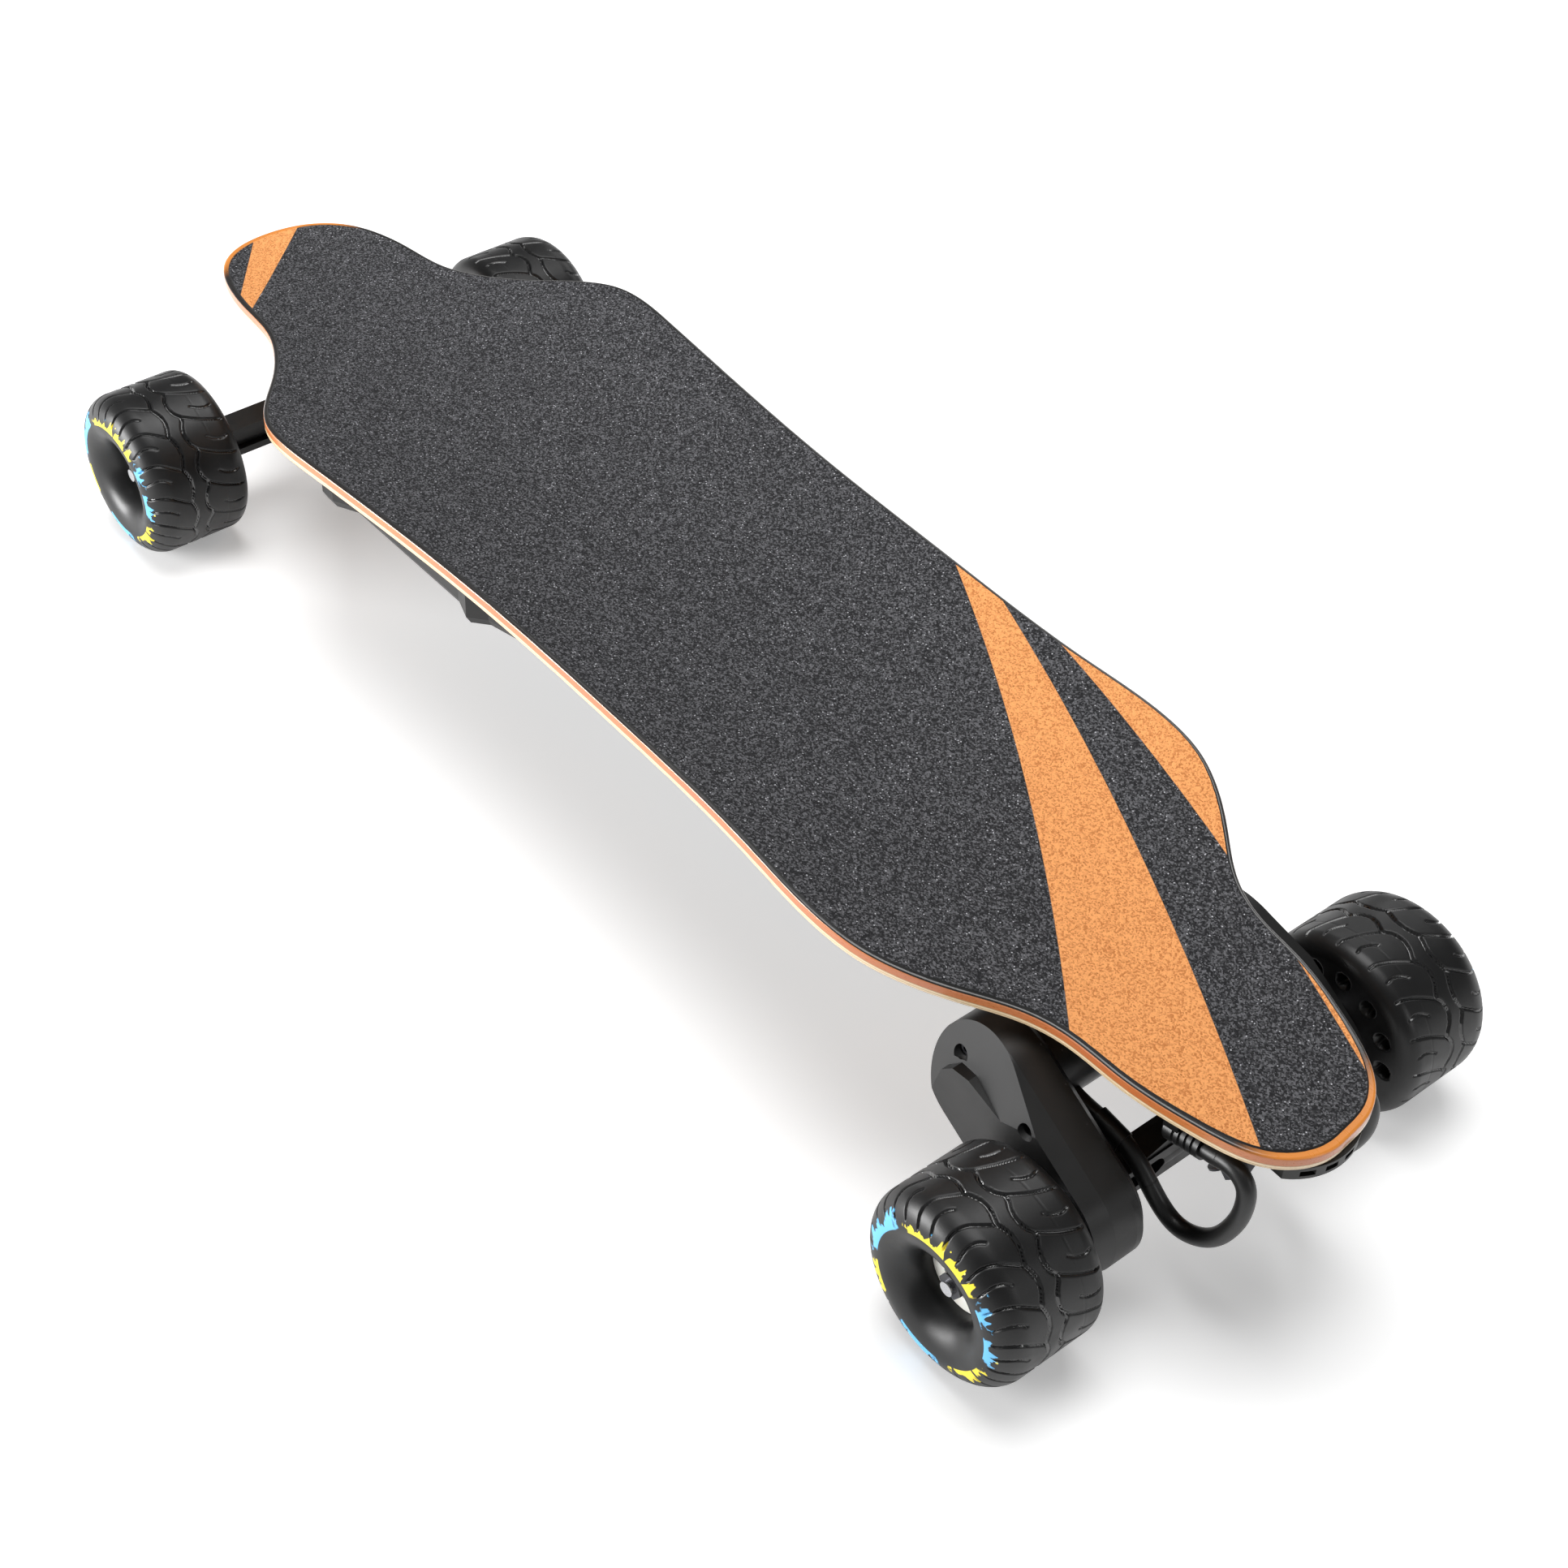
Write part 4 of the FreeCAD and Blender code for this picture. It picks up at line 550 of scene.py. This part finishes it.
def tread_depth(turn, out):
    """Groove depth in mm at angles turn (degrees, one pitch) and distances out from the inner face."""
    arc = math.radians(1) * TYRE_RAD
    depth = np.zeros(turn.shape)
    for points, start, (width, deep) in GROOVES:
        line = smooth_line(points)
        for shift in (-PITCH, 0, PITCH):
            moved = np.column_stack([(line[:, 0] + start + shift + TREAD_PHASE) * arc, line[:, 1]])
            distance = line_distance(turn * arc, out, moved)
            depth = np.maximum(depth, groove(distance, width, deep))
    seam = groove(np.abs(out - PARTING_AT), 0.3, 0.25, 0.7)
    return np.maximum(depth, seam)


def tyre_outline():
    """Closed section as rows of (out from the inner face, radius, outward normal, kind)."""
    rows = []

    def stretch(start, end, step, normal, kind):
        count = max(int(math.dist(start, end) / step), 1)
        for i in range(count):
            t = i / count
            spot = [start[k] + (end[k] - start[k]) * t for k in (0, 1)]
            rows.append((*spot, *normal, kind))

    def arc(middle, radii, start, end, step, kind):
        count = max(int(abs(end - start) * max(radii) / step), 1)
        for i in range(count):
            turn = start + (end - start) * i / count
            c, s = math.cos(turn), math.sin(turn)
            rows.append((middle[0] + radii[0] * c, middle[1] + radii[1] * s, c, s, kind))

    flat = TYRE_RAD - INNER_SHOULDER
    stretch((0, CORE_RAD), (0, flat), 0.85, (-1, 0), "face")
    arc((INNER_SHOULDER, flat), (INNER_SHOULDER,) * 2, math.pi, math.pi / 2, 0.7, "tread")
    stretch((INNER_SHOULDER, TYRE_RAD), (WHEEL_WIDE - OUTER_SHOULDER, TYRE_RAD), 0.62, (0, 1), "tread")
    turned = TYRE_RAD - OUTER_SHOULDER
    arc((WHEEL_WIDE - OUTER_SHOULDER, turned), (OUTER_SHOULDER,) * 2, math.pi / 2, 0.03, 0.7, "tread")
    bowl = (WHEEL_WIDE - HUB_FACE, BOWL_RAD - HUB_RAD)
    steps = 26
    for i in range(steps + 1):
        turn = math.pi / 2 * i / steps
        spot = (WHEEL_WIDE - bowl[0] * (1 - math.cos(turn)), BOWL_RAD - bowl[1] * math.sin(turn))
        rows.append((*spot, math.sin(turn), -math.cos(turn), "bowl"))
    stretch((HUB_FACE, HUB_RAD), (HUB_FACE - 4, HUB_RAD), 4, (0, -1), "core")
    stretch((HUB_FACE - 4, HUB_RAD), (HUB_FACE - 4, CORE_RAD), 2, (1, 0), "core")
    stretch((HUB_FACE - 4, CORE_RAD), (0, CORE_RAD), 12, (0, -1), "core")
    return rows


def tyre_mesh():
    """A wheel's urethane about its own axis (Y, outward), grooved, with blind holes inside."""
    rows = tyre_outline()
    out = np.array([r[0] for r in rows])
    radius = np.array([r[1] for r in rows])
    normal = np.array([(r[2], r[3]) for r in rows])
    kinds = np.array([r[4] for r in rows])
    per_pitch = TURN_STEPS // PITCHES
    local = np.arange(per_pitch) * PITCH / per_pitch
    grid_turn, grid_out = np.meshgrid(local, out)
    depth = tread_depth(grid_turn, grid_out) * (kinds == "tread")[:, None]
    depth = np.tile(depth, PITCHES)
    turn = np.radians(np.arange(TURN_STEPS) * 360 / TURN_STEPS)
    hole_pitch = 2 * math.pi / LIGHTENING_HOLES
    off = (turn + hole_pitch / 2) % hole_pitch - hole_pitch / 2
    gap = np.hypot(radius[:, None] * np.cos(off) - HOLE_RING, radius[:, None] * np.sin(off))
    sunk = HOLE_DEEP * np.clip((HOLE_RAD + 0.4 - gap) / 0.8, 0, 1) * (kinds == "face")[:, None]
    along = out[:, None] - normal[:, :1] * depth + sunk
    across = radius[:, None] - normal[:, 1:] * depth
    points = np.stack([across * np.cos(turn), along, across * np.sin(turn)], axis=2) * MM
    high, wide = depth.shape
    index = np.arange(high * wide).reshape(high, wide)
    next_row, next_turn = np.roll(index, -1, axis=0), np.roll(index, -1, axis=1)
    corner = np.roll(next_row, -1, axis=1)
    quads = np.stack([index, next_row, corner, next_turn], axis=2).reshape(-1, 4)
    mesh = bpy.data.meshes.new("tyre_mesh")
    mesh.from_pydata(points.reshape(-1, 3), [], quads.tolist())
    mesh.polygons.foreach_set("use_smooth", np.ones(len(mesh.polygons), bool))
    sunk_by = mesh.attributes.new("sunk", "FLOAT", "POINT")
    sunk_by.data.foreach_set("value", depth.astype(np.float32).ravel())
    mesh.update()
    return mesh


def place_tyres(material):
    """One grooved tyre at each wheel, in place of the plain turned one."""
    mesh = tyre_mesh()
    mesh.materials.append(material)
    for end in ENDS:
        for side in SIDES:
            low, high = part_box(f"tyre_{end}_{side}")
            middle = (low + high) / 2
            outward = 1 if side == "left" else -1
            inner = low.y if side == "left" else high.y
            tyre = bpy.data.objects.new(f"tread_{end}_{side}", mesh)
            bpy.context.scene.collection.objects.link(tyre)
            turned = Matrix.Rotation(0 if outward > 0 else math.pi, 4, "Z")
            tyre.matrix_world = Matrix.Translation((middle.x, inner, middle.z)) @ turned
            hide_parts(f"tyre_{end}_{side}")
            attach(tyre, f"wheel_{end}_{side}")


# ------------------------------------------------------------------ pieces that are copied or added


def copy_of(node, name, keep=None):
    """A new object with a CAD node's mesh, or with only the points of it that keep() accepts."""
    piece = NODES[node].copy()
    piece.data = NODES[node].data.copy()
    piece.parent = None
    piece.name = name
    piece.hide_render = piece.hide_viewport = False
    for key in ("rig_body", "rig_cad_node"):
        del piece[key]
    bpy.context.scene.collection.objects.link(piece)
    if keep:
        shape = bmesh.new()
        shape.from_mesh(piece.data)
        unwanted = [point for point in shape.verts if not keep(point.co)]
        bmesh.ops.delete(shape, geom=unwanted, context="VERTS")
        shape.to_mesh(piece.data)
        shape.free()
    return piece


def add_bushings():
    """The soft rings above and below each hanger's ring, cut from the CAD node's mesh into an upper and a
    lower piece.
    """
    for end in ENDS:
        node = f"{end}_bushings"
        steer = next(Vector(j["axis"]) for j in frame["joints"] if j["name"] == f"{end}_steer")
        kingpin = Vector((math.copysign(steer.z, steer.x), 0, -abs(steer.x)))
        low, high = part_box(node)
        centre = (low + high) / 2
        for place, outward in (("upper", -kingpin), ("lower", kingpin)):
            name = f"bushing_{end}_{place}"
            piece = copy_of(node, name, lambda spot: (spot - centre).dot(outward) > 0)
            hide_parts(node)
            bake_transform(piece)


def add_cables():
    """The motor leads, which run from the motor to the ribbed sleeve at the deck: plain copies of the CAD
    nodes' meshes.
    """
    for side in SIDES:
        node = f"motor_cable_{side}"
        piece = copy_of(node, f"lead_{side}")
        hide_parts(node)
        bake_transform(piece)


def deck_top(x, y):
    """Height in mm of the deck's curved wooden top."""
    run = abs(x) / CAMBER_SPAN
    if x > 0:
        drop = NOSE_DROP * run**NOSE_POWER - KICK * (max(x - KICK_START, 0) / KICK_LONG) ** KICK_POWER
    else:
        drop = TAIL_DROP * run**2
    return DECK_MID - drop + DECK_BOW * y * y


def border_spot(x, y, z, way):
    """A point of the grip's side wall moved out: by a hair at its top, wide at its foot, where the band
    lies on the wood as painted shadow.
    """
    on_top = z - deck_top(x, y) > GRIP_THICK / 2
    reach, lift = (0.06, GRIP_THICK - 0.1) if on_top else (SHADOW_REACH, 0.04)
    x, y = x + way.x * reach, y + way.y * reach
    return x * MM, y * MM, (deck_top(x, y) + lift) * MM


def add_grip_wall_and_painted_shadow(material):
    """The grip sheet's dark side wall with a painted shadow: a narrow sloping band round its outline that
    reaches out over the wood as painted shade.
    """
    mesh = NODES["grip_tape"].data
    outward, faces = {}, []
    for face in mesh.polygons:
        if abs(face.normal.z) > 0.5:
            continue
        spots = [tuple(round(c / MM, 3) for c in mesh.vertices[i].co) for i in face.vertices]
        faces.append(spots)
        for spot in spots:
            outward[spot] = outward.get(spot, Vector()) + face.normal * face.area
    order = {spot: i for i, spot in enumerate(outward)}
    points = [
        border_spot(*spot, Vector((way.x, way.y, 0)).normalized()) for spot, way in outward.items()
    ]
    band = bpy.data.meshes.new("grip_wall_and_painted_shadow")
    band.from_pydata(points, [], [[order[spot] for spot in spots] for spots in faces])
    band.materials.append(material)
    piece = bpy.data.objects.new("grip_wall_and_painted_shadow", band)
    bpy.context.scene.collection.objects.link(piece)
    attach(piece, "deck")


# ------------------------------------------------------------------ floor, light and camera

CAMERA_SPOT = Vector((-0.8549, 0.6926, 1.0458))
CAMERA_AZIMUTH, CAMERA_HEIGHT, CAMERA_ROLL = 228.628, 43.768, 3.326
CAMERA_LENS = 58.89
FLOOR_HALF = 12
# The floor's own glow, and the distances in metres over which it grows to a white horizon.
GLOW_NEAR, GLOW_FAR, GLOW_FROM, GLOW_TO = 0.3, 1.0, 0.8, 2.6
SKY_LIGHT, SKY_SEEN = 0.22, 1.0  # the backdrop is white to the camera but lights the board softly
# Lights as (name, place, point aimed at, size, watts).
LIGHTS = [
    ("overhead", (0.4, -0.3, 3.4), (0, 0, 0), (2.4, 2.4), 92),
    ("near_side", (1.1, 1.7, 0.4), (-0.25, 0.1, 0.1), (1.3, 0.6), 62),
    ("far_side", (0.9, -1.9, 1.2), (0.1, 0, 0.1), (1.8, 0.7), 8),
    ("tail_side", (-2.2, -0.5, 1.0), (-0.3, 0.0, 0.1), (0.4, 0.7), 3.5),
]


def add_camera():
    camera = bpy.data.objects.new("view_camera", bpy.data.cameras.new("view_camera"))
    azimuth, height = math.radians(CAMERA_AZIMUTH), math.radians(CAMERA_HEIGHT)
    level = Vector((math.sin(azimuth), -math.cos(azimuth), 0))
    back = level * math.cos(height) + Vector((0, 0, math.sin(height)))
    aim = (-back).to_track_quat("-Z", "Y").to_matrix().to_4x4()
    roll = Matrix.Rotation(math.radians(CAMERA_ROLL), 4, "Z")
    camera.matrix_world = Matrix.Translation(CAMERA_SPOT) @ aim @ roll
    camera.data.lens = CAMERA_LENS
    camera.data.sensor_width = 36
    bpy.context.scene.collection.objects.link(camera)
    bpy.context.scene.camera = camera


def floor_finish():
    """White studio paper that fades into the white backdrop."""
    f = Finish("floor_paper", 0.9)
    f.set("Base Color", f.mix(f.noise(400, 2), (0.90, 0.90, 0.90), (0.93, 0.93, 0.93)))
    f.set("Emission Color", (1.0, 1.0, 1.0))
    x, y, _ = f.split(f.place)
    f.set("Emission Strength", f.ramp(f.length(x, y), GLOW_FROM, GLOW_TO, GLOW_NEAR, GLOW_FAR))
    f.bump(f.noise(2, 2), 0.02)
    return f.material


def add_floor():
    mesh = bpy.data.meshes.new("floor")
    corners = [(x * FLOOR_HALF, y * FLOOR_HALF, 0) for x, y in ((-1, -1), (1, -1), (1, 1), (-1, 1))]
    mesh.from_pydata(corners, [], [(0, 1, 2, 3)])
    mesh.materials.append(floor_finish())
    floor = bpy.data.objects.new("floor", mesh)
    bpy.context.scene.collection.objects.link(floor)


def add_soft_light(name, spot, target, size, power):
    data = bpy.data.lights.new(name, "AREA")
    data.shape = "RECTANGLE"
    data.size, data.size_y = size
    data.energy = power
    lamp = bpy.data.objects.new(name, data)
    lamp.location = spot
    lamp.rotation_euler = (Vector(target) - Vector(spot)).to_track_quat("-Z", "Y").to_euler()
    bpy.context.scene.collection.objects.link(lamp)


def add_backdrop():
    """A white surround for the camera, dimmer as a light, and plain display of colours."""
    scene = bpy.context.scene
    scene.world = scene.world or bpy.data.worlds.new("studio")
    scene.world.use_nodes = True
    tree = scene.world.node_tree
    sky = tree.nodes["Background"]
    sky.inputs["Color"].default_value = (1.0, 1.0, 1.0, 1)
    light_path = tree.nodes.new("ShaderNodeLightPath")
    strength = tree.nodes.new("ShaderNodeMapRange")
    strength.inputs["To Min"].default_value = SKY_LIGHT
    strength.inputs["To Max"].default_value = SKY_SEEN
    tree.links.new(light_path.outputs["Is Camera Ray"], strength.inputs["Value"])
    tree.links.new(strength.outputs["Result"], sky.inputs["Strength"])
    scene.view_settings.view_transform = "Standard"
    scene.view_settings.look = "None"


# ------------------------------------------------------------------ put it together

finishes = make_finishes()
for name, node in NODES.items():
    node.data.materials.clear()
    node.data.materials.append(finishes[SLOT_OF[name]])
place_tyres(finishes["urethane"])
add_bushings()
add_cables()
# Dark band at the grip's edge: the sheet's side wall plus a painted shadow on the wood beside it.
add_grip_wall_and_painted_shadow(moulded("grip_edge_painted_shadow", 0.006, 0.8, 0.8, 0.1))
add_floor()
for light in LIGHTS:
    add_soft_light(*light)
add_backdrop()
add_camera()
